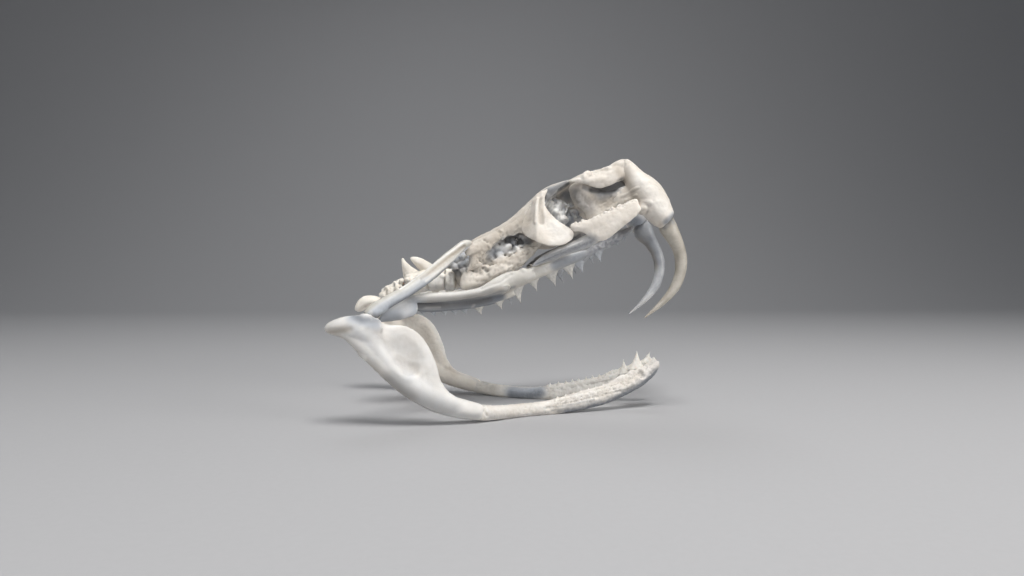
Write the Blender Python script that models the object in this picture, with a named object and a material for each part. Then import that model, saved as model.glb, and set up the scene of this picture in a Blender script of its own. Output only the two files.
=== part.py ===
"""Skull of a gaboon viper, with the mouth open and the fangs raised.

Every size below is in millimetres and becomes metres when a mesh is made. The snout
points along +X, the animal's right side faces -Y, +Z is up, and the surface that the
lower jaws rest on is Z = 0. A place is given as (forward, out, up), where out is the
distance from the midplane. While the bones are made, the resting surface is at
SOLE_HEIGHT and the middle of the length at MIDDLE; at the end both move to zero. Paired bones are made once for the right side and mirrored.
A station of a limb is (forward, out, up, half thickness, half height).
"""

import math

import bmesh
import bpy
import numpy as np
from mathutils import Matrix, Vector

MM = 0.001

# Driving dimensions, in millimetres
GAP = 0.42
VOXEL = 0.45
PLATE = 1.6
THIN_PLATE = 1.3
SKULL_TILT = 31.0
SKULL_REAR = (-19.0, 43.0)
HEEL_LIFT_LEFT = 5.4
DENTARY_TOOTH = 1.7
SOLE_HEIGHT = -1.0
MIDDLE = -0.69

# Largest number of triangles that each solid keeps
FACES = {
    "cranium": 1080,
    "snout": 280,
    "prefrontal": 270,
    "postorbital": 190,
    "supratemporal": 90,
    "quadrate": 190,
    "pterygoid": 780,
    "palatine": 260,
    "ectopterygoid": 290,
    "maxilla": 340,
    "fang": 200,
    "compound_bone": 520,
    "dentary": 600,
    "vertebra": 230,
}

IVORY = (0.78, 0.73, 0.64)
PALE_BONE = (0.80, 0.78, 0.74)
COOL_BONE = (0.66, 0.67, 0.71)
SHADED_BONE = (0.60, 0.60, 0.61)
FANG_RIGHT = (0.74, 0.67, 0.55)
FANG_LEFT = (0.62, 0.62, 0.62)


# Curves and shells

def smooth_path(points, steps, closed=False):
    """A Catmull-Rom curve through rows of numbers, with steps points to each stretch."""
    rows = np.array(points, dtype=float)
    count = len(rows)
    stretches = count if closed else count - 1
    out = []
    for i in range(stretches):
        if closed:
            a, b, c, d = (rows[(i + k) % count] for k in (-1, 0, 1, 2))
        else:
            a, b, c, d = (rows[min(max(i + k, 0), count - 1)] for k in (-1, 0, 1, 2))
        for step in range(steps):
            t = step / steps
            out.append(0.5 * (2 * b + (c - a) * t + (2 * a - 5 * b + 4 * c - d) * t * t
                              + (3 * b - a - 3 * c + d) * t ** 3))
    if not closed:
        out.append(rows[-1])
    return np.array(out)


def place(forward, out, up):
    """A place on the animal's right side, in metres."""
    return Vector((forward * MM, -out * MM, up * MM))


def skin(bm, rings):
    """Joins rings of equal count and closes both ends with a point."""
    loops = [[bm.verts.new(p) for p in ring] for ring in rings]
    sides = len(loops[0])
    for low, high in zip(loops, loops[1:]):
        for i in range(sides):
            j = (i + 1) % sides
            bm.faces.new((low[i], low[j], high[j], high[i]))
    for loop, flip in ((loops[0], True), (loops[-1], False)):
        middle = bm.verts.new(sum((v.co for v in loop), Vector()) / sides)
        for i in range(sides):
            j = (i + 1) % sides
            corner = (loop[j], loop[i], middle) if flip else (loop[i], loop[j], middle)
            bm.faces.new(corner)


def limb(bm, stations, steps=4, sides=14, edge=1.0, turn=0.0, across=(0, 1, 0)):
    """A rod or blade along a smooth path. edge over 1 gives its section sharp sides."""
    rows = smooth_path(stations, steps)
    centres = [place(*row[:3]) for row in rows]
    rings = []
    for i, row in enumerate(rows):
        ahead = centres[min(i + 1, len(rows) - 1)] - centres[max(i - 1, 0)]
        ahead.normalize()
        side = Vector(across)
        side = (side - side.dot(ahead) * ahead).normalized()
        side = Matrix.Rotation(math.radians(turn), 3, ahead) @ side
        rise = ahead.cross(side)
        ring = []
        for k in range(sides):
            angle = 2 * math.pi * k / sides
            c = math.copysign(abs(math.cos(angle)) ** edge, math.cos(angle))
            s = math.copysign(abs(math.sin(angle)) ** edge, math.sin(angle))
            ring.append(centres[i] + (side * (row[3] * c) + rise * (row[4] * s)) * MM)
        rings.append(ring)
    skin(bm, rings)


def distance_to_rim(points, rim):
    """The least distance from each point to a closed outline, both in the plane."""
    best = np.full(len(points), 1e9)
    for a, b in zip(rim, np.roll(rim, -1, axis=0)):
        run = b - a
        along = np.clip(((points - a) @ run) / max(run @ run, 1e-12), 0, 1)
        near = a + along[:, None] * run
        best = np.minimum(best, np.linalg.norm(points - near, axis=1))
    return best


def plate(bm, outline, out_at, thick=PLATE, steps=3, spacing=1.2):
    """A thin sheet of bone with a rounded rim. out_at(x, z) is its distance outward."""
    rim = smooth_path(outline, steps, closed=True)
    flat = bmesh.new()
    verts = [flat.verts.new((p[0], 0, p[1])) for p in rim]
    edges = [flat.edges.new((a, b)) for a, b in zip(verts, verts[1:] + verts[:1])]
    bmesh.ops.triangle_fill(flat, edges=edges, use_beauty=True)
    for _ in range(4):
        long_edges = [e for e in flat.edges if e.calc_length() > spacing]
        if not long_edges:
            break
        bmesh.ops.subdivide_edges(flat, edges=long_edges, cuts=1)
        bmesh.ops.triangulate(flat, faces=flat.faces[:], quad_method="BEAUTY")
    flat.verts.index_update()
    spots = np.array([(v.co.x, v.co.z) for v in flat.verts])
    depth = distance_to_rim(spots, rim)
    half = thick / 2 * np.sqrt(np.clip(depth / thick, 0.06, 1))
    layers = []
    for sign in (1, -1):
        layers.append([bm.verts.new(place(x, out_at(x, z) + sign * h, z))
                       for (x, z), h in zip(spots, half)])
    for face in flat.faces:
        ids = [v.index for v in face.verts]
        bm.faces.new([layers[0][i] for i in ids])
        bm.faces.new([layers[1][i] for i in reversed(ids)])
    for edge in flat.edges:
        if edge.is_boundary:
            loop = edge.link_loops[0]
            i = loop.vert.index
            j = loop.link_loop_next.vert.index
            bm.faces.new((layers[0][j], layers[0][i], layers[1][i], layers[1][j]))
    flat.free()


def knob(bm, centre, radii):
    """A rounded lump with its three half sizes."""
    turn = Matrix.Translation(place(*centre)) @ Matrix.Diagonal((*[r * MM for r in radii], 1))
    bmesh.ops.create_icosphere(bm, subdivisions=3, radius=1.0, matrix=turn)


def tooth(bm, foot, tip, radius, hook=0.0, broad=1.0):
    """A pointed tooth, broad times as long as thick at its base. hook bows its middle forward."""
    start = np.array(foot, dtype=float)
    end = np.array(tip, dtype=float)
    length = np.linalg.norm(end - start)
    bow = np.array((hook * length, 0, 0))
    rows = []
    for t in (-0.25, 0.1, 0.4, 0.7, 0.92, 1.0):
        spot = start + (end - start) * t + bow * (4 * max(t, 0) * (1 - t))
        width = radius * (1 - t) ** 1.1 + 0.22
        rows.append((*spot, width, width * (1 + (broad - 1) * (1 - t))))
    limb(bm, rows, steps=1, sides=8, across=(0, 1, 0))


# Solids

def to_object(name, bm):
    bmesh.ops.recalc_face_normals(bm, faces=bm.faces[:])
    mesh = bpy.data.meshes.new(name)
    bm.to_mesh(mesh)
    bm.free()
    solid = bpy.data.objects.new(name, mesh)
    bpy.context.scene.collection.objects.link(solid)
    return solid


def settle(solid):
    """Turns the object's modifiers into plain mesh."""
    graph = bpy.context.evaluated_depsgraph_get()
    mesh = bpy.data.meshes.new_from_object(solid.evaluated_get(graph))
    solid.modifiers.clear()
    old = solid.data
    solid.data = mesh
    bpy.data.meshes.remove(old)


def weld(solid, voxel=VOXEL):
    """Joins overlapping shells in one skin."""
    remesh = solid.modifiers.new("Weld", "REMESH")
    remesh.mode = "VOXEL"
    remesh.voxel_size = voxel * MM
    settle(solid)


def keep_largest(solid):
    """Drops crumbs that a cut has left loose."""
    bm = bmesh.new()
    bm.from_mesh(solid.data)
    left = set(bm.verts)
    groups = []
    while left:
        front = [left.pop()]
        group = set(front)
        while front:
            vert = front.pop()
            for edge in vert.link_edges:
                other = edge.other_vert(vert)
                if other in left:
                    left.discard(other)
                    group.add(other)
                    front.append(other)
        groups.append(group)
    groups.sort(key=len)
    for group in groups[:-1]:
        bmesh.ops.delete(bm, geom=list(group), context="VERTS")
    bm.to_mesh(solid.data)
    bm.free()


def make_room(solid, *neighbours):
    """Cuts a solid back to GAP from each neighbour."""
    for neighbour in neighbours:
        cutter = bpy.data.objects.new("cutter", neighbour.data.copy())
        bpy.context.scene.collection.objects.link(cutter)
        grow = cutter.modifiers.new("Grow", "DISPLACE")
        grow.strength = GAP * MM
        grow.mid_level = 0.0
        cut = solid.modifiers.new("Room", "BOOLEAN")
        cut.operation = "DIFFERENCE"
        cut.object = cutter
        settle(solid)
        bpy.data.objects.remove(cutter)
    weld(solid)
    keep_largest(solid)


def thin_out(solid, faces):
    """Lowers a solid to its share of triangles."""
    triangles = sum(len(face.vertices) - 2 for face in solid.data.polygons)
    if triangles > faces:
        lower = solid.modifiers.new("Thin out", "DECIMATE")
        lower.ratio = faces / triangles
        settle(solid)
    bm = bmesh.new()
    bm.from_mesh(solid.data)
    bmesh.ops.triangulate(bm, faces=bm.faces[:])
    bm.to_mesh(solid.data)
    bm.free()


def cut_sole(solid):
    """Cuts the underside flat where the jaw rests."""
    bm = bmesh.new()
    bm.from_mesh(solid.data)
    everything = bm.verts[:] + bm.edges[:] + bm.faces[:]
    cut = bmesh.ops.bisect_plane(bm, geom=everything, plane_co=(0, 0, SOLE_HEIGHT * MM),
                                 plane_no=(0, 0, 1), clear_inner=True)
    rim = [e for e in cut["geom_cut"] if isinstance(e, bmesh.types.BMEdge)]
    if rim:
        bmesh.ops.contextual_create(bm, geom=rim)
    bmesh.ops.triangulate(bm, faces=[f for f in bm.faces if len(f.verts) > 3])
    bmesh.ops.recalc_face_normals(bm, faces=bm.faces[:])
    bm.to_mesh(solid.data)
    bm.free()


def turn_left(solid):
    """Moves a bone made for the right side to the left side."""
    solid.data.transform(Matrix.Scale(-1, 4, (0, 1, 0)))
    solid.data.flip_normals()


def mirrored(solid, name):
    """The same bone for the left side."""
    twin = bpy.data.objects.new(name, solid.data.copy())
    bpy.context.scene.collection.objects.link(twin)
    turn_left(twin)
    return twin


def paint(solid, colour, roughness=0.5):
    material = bpy.data.materials.new(solid.name + "_bone")
    material.use_nodes = True
    shader = material.node_tree.nodes["Principled BSDF"]
    shader.inputs["Base Color"].default_value = (*colour, 1.0)
    shader.inputs["Roughness"].default_value = roughness
    shader.inputs["Metallic"].default_value = 0.0
    solid.data.materials.clear()
    solid.data.materials.append(material)
    for face in solid.data.polygons:
        face.use_smooth = False


# Lower jaw

def jaw_out(forward):
    """How far from the midplane the lower jaw runs."""
    spots = (-62, -50, -38, -25, -16, -10, -4, 2, 9, 21, 33, 46, 55)
    outs = (33.5, 35, 34, 31.5, 29.4, 26.6, 22.6, 19.0, 16.3, 13, 9.8, 6.3, 4)
    return float(np.interp(forward, spots, outs))


def jaw_rows(rows, inward=0.0):
    """Adds the distance outward to rows of (forward, up, half thickness, half height)."""
    return [(x, jaw_out(x) - inward, z, t, h) for x, z, t, h in rows]


JAW_BAR = (
    (-60.5, 30.4, 1.3, 1.3),
    (-57.5, 30.3, 2.2, 1.9),
    (-55.0, 29.2, 2.7, 1.9),
    (-51.5, 27.3, 3.3, 3.0),
    (-48.0, 24.9, 3.6, 3.9),
    (-44.0, 21.0, 3.5, 4.1),
    (-38.0, 14.9, 3.3, 4.0),
    (-32.0, 10.0, 3.2, 3.7),
    (-25.0, 6.2, 3.0, 3.6),
    (-18.0, 3.9, 2.7, 3.3),
    (-13.8, 2.7, 2.5, 2.9),
    (-12.4, 2.4, 2.3, 2.7),
)
JAW_TONGUE = (
    (-17.0, 3.8, 1.4, 2.4),
    (-12.0, 2.3, 1.3, 2.0),
    (-7.0, 1.5, 1.1, 1.5),
    (-3.5, 1.2, 0.6, 0.8),
)
JAW_HEEL = (
    (-62.2, 30.3, 0.8, 0.9),
    (-61.0, 31.0, 2.0, 1.9),
    (-58.2, 31.6, 3.1, 2.8),
    (-54.5, 31.8, 4.0, 3.5),
    (-50.8, 31.2, 4.3, 4.3),
    (-47.5, 29.0, 3.8, 4.2),
    (-43.5, 27.0, 2.6, 4.0),
    (-39.0, 24.6, 1.5, 3.2),
    (-34.0, 21.6, 0.9, 2.0),
)
JAW_CREST = (
    (-48.5, 29.5), (-46.6, 32.6), (-45.0, 33.3), (-42.4, 32.5), (-38.5, 32.2), (-35.2, 31.2),
    (-32.2, 29.0), (-30.0, 26.2), (-28.2, 22.6), (-26.5, 18.2), (-25.2, 13.6), (-22.6, 9.8),
    (-18.6, 6.6), (-24.0, 6.0), (-32.0, 10.5), (-38.0, 15.5), (-44.0, 21.5),
)


def compound_bone(name, heel_lift):
    bm = bmesh.new()
    limb(bm, jaw_rows(JAW_BAR))
    limb(bm, jaw_rows(JAW_TONGUE, inward=0.9))
    heel = []
    for x, out, z, t, h in jaw_rows(JAW_HEEL):
        share = min(max((-49.0 - x) / 8.0, 0.0), 1.0)
        heel.append((x - 0.2 * heel_lift * share, out, z + heel_lift * share, t, h))
    limb(bm, heel)
    plate(bm, JAW_CREST, lambda x, z: jaw_out(x) - 0.4, thick=2.0)
    knob(bm, (-46.6, 34.6, 31.4), (1.9, 3.6, 1.6))
    return to_object(name, bm)


DENTARY_BAR = (
    (-12.8, 2.3, 2.2, 2.7),
    (-8.0, 1.6, 2.2, 2.5),
    (-3.6, 1.3, 2.1, 2.4),
    (3.0, 1.1, 2.1, 2.4),
    (9.0, 1.1, 2.1, 2.5),
    (15.0, 1.5, 2.1, 2.7),
    (21.0, 2.4, 2.1, 3.1),
    (28.0, 3.4, 2.1, 3.1),
    (34.0, 4.5, 2.0, 2.9),
    (40.0, 6.4, 1.9, 2.6),
    (46.0, 8.9, 1.8, 2.5),
    (50.5, 11.8, 1.7, 2.3),
    (53.4, 14.4, 1.3, 1.6),
    (54.3, 16.3, 0.7, 0.8),
)
ALVEOLAR_RIDGE = (
    (10.0, 2.4, 1.1, 1.0),
    (16.0, 3.3, 1.2, 1.2),
    (24.0, 4.9, 1.3, 1.3),
    (33.0, 6.8, 1.3, 1.4),
    (40.0, 8.7, 1.3, 1.5),
    (46.0, 11.3, 1.3, 1.6),
    (51.5, 14.2, 1.0, 1.4),
)
SMALL_TEETH_LEFT = (13.4, 16.0, 19.2, 22.0, 24.6, 27.0, 29.8, 32.3, 34.9, 37.4, 39.6)
SMALL_TEETH_RIGHT = (15.5, 18.6, 21.5, 24.3, 27.2, 30.0, 32.9, 36.0, 38.8)
# Foot and tip as (forward, up), then the half thickness at the foot
FRONT_TEETH_LEFT = (((43.9, 10.8), (44.4, 15.6), 1.4),)
FRONT_TEETH_RIGHT = (((46.6, 12.2), (46.3, 20.4), 1.9), ((50.4, 14.0), (52.2, 19.8), 1.5))


def ridge_height(forward):
    return float(np.interp(forward, [r[0] for r in ALVEOLAR_RIDGE], [r[1] for r in ALVEOLAR_RIDGE]))


def dentary(name, small_teeth, front_teeth):
    bm = bmesh.new()
    limb(bm, jaw_rows(DENTARY_BAR), edge=0.85)
    inward = 0.7
    limb(bm, jaw_rows(ALVEOLAR_RIDGE, inward))
    for forward in small_teeth:
        foot = (forward + 0.4, jaw_out(forward) - inward, ridge_height(forward) + 0.7)
        tip = (forward - 0.1, jaw_out(forward) - inward - 0.3, foot[2] + DENTARY_TOOTH)
        tooth(bm, foot, tip, 0.9)
    for foot, tip, radius in front_teeth:
        tooth(bm, (foot[0], jaw_out(foot[0]) - inward, foot[1]),
              (tip[0], jaw_out(tip[0]) - inward, tip[1]), radius, hook=0.05)
    return to_object(name, bm)


# Suspension and palate

QUADRATE = (
    (-15.4, 13.4, 59.8, 1.0, 0.8),
    (-17.6, 14.4, 59.3, 1.6, 1.5),
    (-21.4, 16.4, 56.0, 1.6, 2.0),
    (-25.6, 19.0, 52.0, 1.5, 2.3),
    (-30.2, 22.2, 47.9, 1.5, 2.3),
    (-36.4, 26.2, 43.3, 1.6, 2.2),
    (-42.3, 30.3, 39.8, 2.0, 2.3),
    (-46.4, 33.2, 37.0, 3.0, 2.6),
    (-48.4, 34.6, 34.9, 3.4, 2.3),
)


def quadrate():
    bm = bmesh.new()
    limb(bm, QUADRATE, edge=1.25, turn=12)
    return to_object("quadrate_right", bm)


SUPRATEMPORAL = (
    (-4.5, 8.6, 62.6, 0.7, 0.9),
    (-8.5, 9.5, 60.9, 1.0, 1.8),
    (-12.5, 10.7, 58.6, 1.1, 2.2),
    (-16.5, 12.0, 56.3, 1.1, 2.0),
    (-20.0, 13.2, 54.4, 0.8, 1.2),
)


def supratemporal():
    bm = bmesh.new()
    limb(bm, SUPRATEMPORAL)
    return to_object("supratemporal_right", bm)


PTERYGOID_ROD = (
    (-38.0, 24.6, 40.5, 0.8, 1.0),
    (-33.5, 22.7, 40.4, 1.2, 1.5),
    (-27.0, 19.8, 40.7, 1.4, 1.7),
    (-18.5, 16.6, 41.3, 1.4, 1.6),
    (-12.5, 14.6, 42.3, 1.5, 1.7),
    (-8.6, 13.6, 43.9, 1.6, 2.1),
    (-5.4, 12.8, 45.4, 1.7, 2.5),
    (-1.6, 12.1, 46.8, 1.8, 2.8),
    (3.0, 11.3, 47.7, 1.8, 2.6),
    (7.0, 10.8, 49.0, 1.6, 2.2),
)
PTERYGOID_FRONT = (
    (-6.0, 10.8, 41.8, 1.0, 1.4),
    (-2.0, 10.8, 44.0, 1.4, 2.0),
    (2.5, 10.7, 46.6, 1.6, 2.4),
    (9.5, 10.3, 50.0, 1.6, 2.4),
    (17.0, 9.9, 52.8, 1.4, 2.2),
    (24.0, 9.4, 55.4, 1.1, 1.8),
    (27.2, 9.1, 56.9, 0.7, 1.0),
)
PTERYGOID_REAR_RIDGE = (
    (0.0, 10.6, 42.4, 1.1, 1.6),
    (-7.0, 10.8, 39.6, 1.1, 1.5),
    (-14.0, 11.8, 37.9, 1.0, 1.3),
    (-22.0, 14.0, 37.0, 0.9, 1.2),
    (-30.0, 18.0, 36.6, 0.9, 1.1),
    (-35.8, 22.0, 37.2, 0.7, 0.8),
)
PTERYGOID_FLANGE = (
    (-46.0, 33.2), (-43.0, 37.2), (-39.3, 40.0), (-35.8, 40.6), (-33.6, 38.6), (-34.0, 35.2),
    (-38.5, 33.4), (-42.5, 33.0),
)
PTERYGOID_WEB = (
    (-37.0, 40.2), (-26.0, 40.8), (-16.0, 41.4), (-8.0, 43.2), (-2.0, 45.0), (-2.0, 42.6),
    (-8.0, 39.6), (-16.0, 37.8), (-26.0, 36.8), (-35.0, 37.2),
)
# Tip of each tooth as (forward, up), and its size
PTERYGOID_TEETH_RIGHT = (
    (21.7, 46.6, 0.9), (15.4, 44.0, 1.0), (8.5, 42.3, 1.1), (2.7, 37.9, 1.1), (-4.1, 35.8, 1.1),
    (-11.5, 33.9, 1.0), (-17.0, 34.0, 0.7), (-20.6, 33.9, 0.65), (-24.2, 33.8, 0.65),
    (-27.8, 33.7, 0.6), (-31.4, 34.2, 0.55),
)
PTERYGOID_TEETH_LEFT = (
    (20.7, 44.9, 1.0), (10.3, 43.0, 1.0), (0.8, 36.2, 0.9), (-3.1, 36.2, 0.9), (-11.1, 34.8, 0.9),
    (-17.4, 34.6, 0.65), (-21.4, 34.4, 0.6), (-25.4, 34.4, 0.6), (-29.4, 34.6, 0.55),
)


def row_value(rows, column, forward):
    ordered = sorted(rows)
    return float(np.interp(forward, [r[0] for r in ordered], [r[column] for r in ordered]))


def row_of_teeth(bm, teeth, carrier):
    """Fin-like teeth, each rising from a broad foot behind its tip on the limb that carries it."""
    for forward, tip_up, size in teeth:
        behind = 1.7 * size
        out = row_value(carrier, 1, forward - behind)
        low = row_value(carrier, 2, forward - behind) - 0.6 * row_value(carrier, 4, forward - behind)
        tooth(bm, (forward - behind, out, low), (forward, out - 0.2, tip_up), 1.2 * size, broad=1.9)


def pterygoid(name, teeth):
    bm = bmesh.new()
    limb(bm, PTERYGOID_ROD)
    limb(bm, PTERYGOID_FRONT)
    limb(bm, PTERYGOID_REAR_RIDGE)
    plate(bm, PTERYGOID_WEB, lambda x, z: row_value(PTERYGOID_REAR_RIDGE, 1, x)
          + 0.8 * max(z - 39.5, 0.0), thick=THIN_PLATE)
    plate(bm, PTERYGOID_FLANGE, lambda x, z: float(np.interp(x, (-46, -40, -34), (32.0, 27.4, 23.2))),
          thick=PLATE)
    split = -1.0
    row_of_teeth(bm, [t for t in teeth if t[0] > split], PTERYGOID_FRONT)
    row_of_teeth(bm, [t for t in teeth if t[0] <= split], PTERYGOID_REAR_RIDGE)
    return to_object(name, bm)


PALATINE = (
    (22.6, 8.4, 52.6, 0.7, 0.8),
    (25.4, 8.6, 54.4, 1.0, 1.4),
    (28.0, 9.0, 56.8, 1.1, 1.5),
    (31.0, 8.8, 58.7, 1.2, 1.6),
    (35.0, 8.4, 60.6, 1.3, 1.8),
    (39.0, 7.8, 62.8, 1.2, 1.7),
    (42.5, 7.2, 64.8, 0.9, 1.2),
    (44.6, 6.8, 66.2, 0.4, 0.6),
)
PALATINE_TEETH = (
    (25.6, 48.7, 0.9), (32.3, 52.7, 1.0), (36.0, 58.4, 0.6), (38.8, 58.7, 0.7), (41.6, 60.7, 0.7),
)
PALATINE_PROCESS = (
    (33.0, 8.6, 61.0, 1.0, 1.2),
    (34.0, 6.4, 64.2, 1.4, 0.9),
    (34.5, 4.4, 66.4, 1.5, 0.6),
)


def palatine():
    bm = bmesh.new()
    limb(bm, PALATINE)
    limb(bm, PALATINE_PROCESS, across=(1, 0, 0))
    row_of_teeth(bm, PALATINE_TEETH, PALATINE)
    return to_object("palatine_right", bm)


ECTOPTERYGOID_SHAFT = (
    (7.0, 13.2, 51.8, 0.6, 0.7),
    (10.4, 13.4, 53.7, 1.1, 1.5),
    (14.0, 13.8, 55.5, 1.2, 1.8),
    (19.5, 14.8, 57.8, 1.2, 2.0),
    (25.0, 16.2, 60.0, 1.2, 2.3),
    (30.0, 17.6, 63.0, 1.0, 2.2),
)
ECTOPTERYGOID_PLATE = (
    (19.4, 65.8), (21.6, 67.7), (25.0, 68.3), (28.8, 69.3), (32.0, 70.8), (34.8, 72.5), (40.2, 74.7),
    (42.9, 75.4), (43.6, 73.2), (44.1, 70.9), (40.1, 67.0), (36.8, 64.5), (31.8, 60.6), (27.6, 60.9),
    (23.8, 63.4), (20.7, 63.8),
)


def ectopterygoid():
    bm = bmesh.new()
    limb(bm, ECTOPTERYGOID_SHAFT)
    plate(bm, ECTOPTERYGOID_PLATE, lambda x, z: float(np.interp(x, (19, 30, 44), (17.4, 18.6, 19.6)))
          - 0.03 * (z - 66) ** 2 * 0.5, thick=PLATE)
    return to_object("ectopterygoid_right", bm)


# Face

MAXILLA = (
    (40.2, 11.6, 89.8, 1.4, 1.2),
    (41.3, 12.0, 87.2, 3.0, 2.5),
    (43.2, 12.8, 82.9, 4.4, 4.0),
    (47.2, 14.2, 78.0, 5.4, 5.6),
    (50.0, 15.8, 72.8, 5.4, 5.8),
    (51.7, 16.8, 68.8, 4.8, 5.1),
    (53.0, 17.1, 66.6, 4.2, 4.3),
)


MAXILLA_SHEET = (
    (38.0, 73.4), (37.4, 78.0), (38.8, 81.8), (38.4, 85.6), (39.2, 88.6), (40.6, 90.0), (43.4, 86.6),
    (46.2, 82.0), (48.0, 76.0), (47.0, 71.6), (42.5, 71.2),
)


def maxilla():
    bm = bmesh.new()
    limb(bm, MAXILLA, sides=18)
    plate(bm, MAXILLA_SHEET, lambda x, z: 11.6 + 0.28 * (x - 37.0), thick=2.0)
    knob(bm, (45.4, 16.6, 72.0), (2.4, 3.4, 2.4))
    return to_object("maxilla_right", bm)


FANG = (
    (51.4, 17.1, 70.6, 3.0, 3.2),
    (52.6, 17.0, 67.6, 3.2, 3.6),
    (54.5, 16.5, 64.8, 2.9, 3.3),
    (57.0, 16.0, 61.5, 2.5, 2.7),
    (59.1, 15.1, 57.4, 2.1, 2.3),
    (60.1, 14.4, 53.2, 2.0, 2.2),
    (59.8, 13.9, 48.6, 1.8, 2.0),
    (58.2, 13.5, 44.2, 1.6, 1.8),
    (55.5, 13.1, 40.4, 1.25, 1.4),
    (51.9, 12.8, 36.8, 0.8, 0.9),
    (47.2, 12.5, 32.9, 0.25, 0.25),
)


def fang():
    bm = bmesh.new()
    limb(bm, FANG, steps=3, sides=12)
    return to_object("fang_right", bm)


PREFRONTAL_WING = (
    (20.6, 7.6, 82.2, 1.4, 0.8),
    (24.5, 8.6, 83.4, 2.2, 1.6),
    (29.0, 9.6, 83.8, 2.6, 2.4),
    (33.5, 10.6, 84.0, 2.8, 3.2),
    (37.0, 11.2, 86.1, 2.4, 3.1),
    (39.2, 11.6, 88.0, 1.6, 2.0),
)
PREFRONTAL_WALL = (
    (20.4, 81.0), (20.5, 77.2), (22.1, 73.9), (24.8, 71.2), (26.4, 68.0), (30.5, 67.4), (35.0, 69.8),
    (39.0, 72.4), (40.6, 76.4), (38.6, 80.2), (33.5, 82.4), (27.0, 82.8),
)


def prefrontal_out(x, z):
    """The wall is hollowed towards the midplane, deepest behind its middle."""
    hollow = 2.4 * math.exp(-(((x - 31.0) / 6.0) ** 2 + ((z - 76.5) / 5.0) ** 2))
    return 11.9 + 0.06 * (x - 20) - hollow - 0.10 * max(z - 78.0, 0.0)


def prefrontal():
    bm = bmesh.new()
    limb(bm, PREFRONTAL_WING)
    plate(bm, PREFRONTAL_WALL, prefrontal_out, thick=PLATE)
    return to_object("prefrontal_right", bm)


POSTORBITAL = (
    (12.4, 79.6), (11.4, 76.6), (11.4, 73.6), (12.8, 70.9), (15.4, 68.1), (18.6, 65.8), (20.7, 64.0),
    (21.0, 62.2), (19.4, 60.2), (16.4, 58.8), (12.8, 58.6), (9.2, 59.4), (5.6, 61.4), (3.3, 63.5),
    (3.0, 66.5), (4.5, 71.0), (6.5, 75.0), (9.0, 78.0),
)


def postorbital_out(x, z):
    """The lobe leans in towards the roof and curls in behind."""
    return 16.5 - 0.385 * (z - 59.0) + 0.05 * (x - 12.0) - 0.6 * max(8.0 - x, 0.0)


def postorbital():
    bm = bmesh.new()
    plate(bm, POSTORBITAL, postorbital_out, thick=1.9)
    limb(bm, ((10.4, 9.6, 78.4, 1.0, 1.0), (9.9, 11.0, 74.5, 1.1, 1.4), (9.6, 12.8, 70.0, 1.1, 1.6),
              (10.4, 14.4, 66.0, 0.9, 1.6)))
    return to_object("postorbital_right", bm)


# Braincase, on the skull's own axis

def skull_place(along, out, rise):
    """A place measured along the braincase from its rear and up from its base line."""
    tilt = math.radians(SKULL_TILT)
    forward = SKULL_REAR[0] + along * math.cos(tilt) - rise * math.sin(tilt)
    up = SKULL_REAR[1] + along * math.sin(tilt) + rise * math.cos(tilt)
    return place(forward, out, up)


# Along, roof height, roof half width, eave height, wall half width, base half width, base height
BRAINCASE = (
    (0.4, 8.0, 3.6, 6.4, 3.8, 4.0, 0.8),
    (3.0, 10.8, 6.2, 7.4, 6.6, 7.0, -2.0),
    (8.0, 13.0, 7.8, 6.8, 7.9, 8.8, -3.4),
    (14.0, 13.6, 8.0, 6.4, 7.4, 9.2, -3.8),
    (21.0, 13.2, 7.8, 8.0, 5.9, 8.6, -3.6),
    (28.0, 13.2, 7.6, 8.4, 5.0, 7.6, -2.6),
    (35.0, 14.4, 8.2, 8.8, 4.6, 6.2, -0.6),
    (42.0, 15.9, 9.4, 10.2, 3.9, 4.6, 0.4),
    (47.0, 16.4, 9.2, 11.8, 2.9, 3.4, 0.0),
    (52.0, 15.6, 8.0, 12.4, 2.2, 2.6, 1.2),
    (56.5, 14.3, 6.6, 12.2, 1.9, 2.2, 3.0),
    (58.6, 13.4, 4.6, 12.0, 1.2, 1.4, 6.0),
)
KEEL_DEPTH = 1.2


def braincase_ring(row, sides):
    along, top, roof, eave, wall, base, low = row
    middle = (eave + low) / 2
    half = [(0, top), (roof * 0.55, top - 0.5), (roof, eave + 1.6), (roof * 0.93, eave + 0.4),
            (wall, eave - 1.0), (wall * 0.97, middle), (base, low + 2.6), (base * 0.6, low + 0.3),
            (0, low - KEEL_DEPTH * (base / 9.0))]
    outline = half + [(-o, r) for o, r in reversed(half[1:-1])]
    curve = smooth_path(outline, sides, closed=True)
    return [skull_place(along, o, r) for o, r in curve]


ROSTRUM = ((30.0, 0.0, 0.4), (42.0, 0.0, 4.6), (54.0, 0.0, 7.6), (62.0, 0.0, 8.6))


def cranium():
    bm = bmesh.new()
    rows = smooth_path(BRAINCASE, 4)
    skin(bm, [braincase_ring(row, 3) for row in rows])
    condyle = skull_place(-0.6, 0.0, 3.0)
    knob(bm, (condyle.x / MM, 0.0, condyle.z / MM), (2.2, 2.4, 2.2))
    rod = []
    for along, out, rise in ROSTRUM:
        spot = skull_place(along, out, rise)
        rod.append((spot.x / MM, 0.0, spot.z / MM, 1.1, 1.0))
    limb(bm, rod)
    for along, out, rise, radii in CRANIUM_LUMPS:
        spot = skull_place(along, out, rise)
        for side in (1, -1):
            knob(bm, (spot.x / MM, side * out, spot.z / MM), radii)
    return to_object("cranium", bm)


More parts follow.
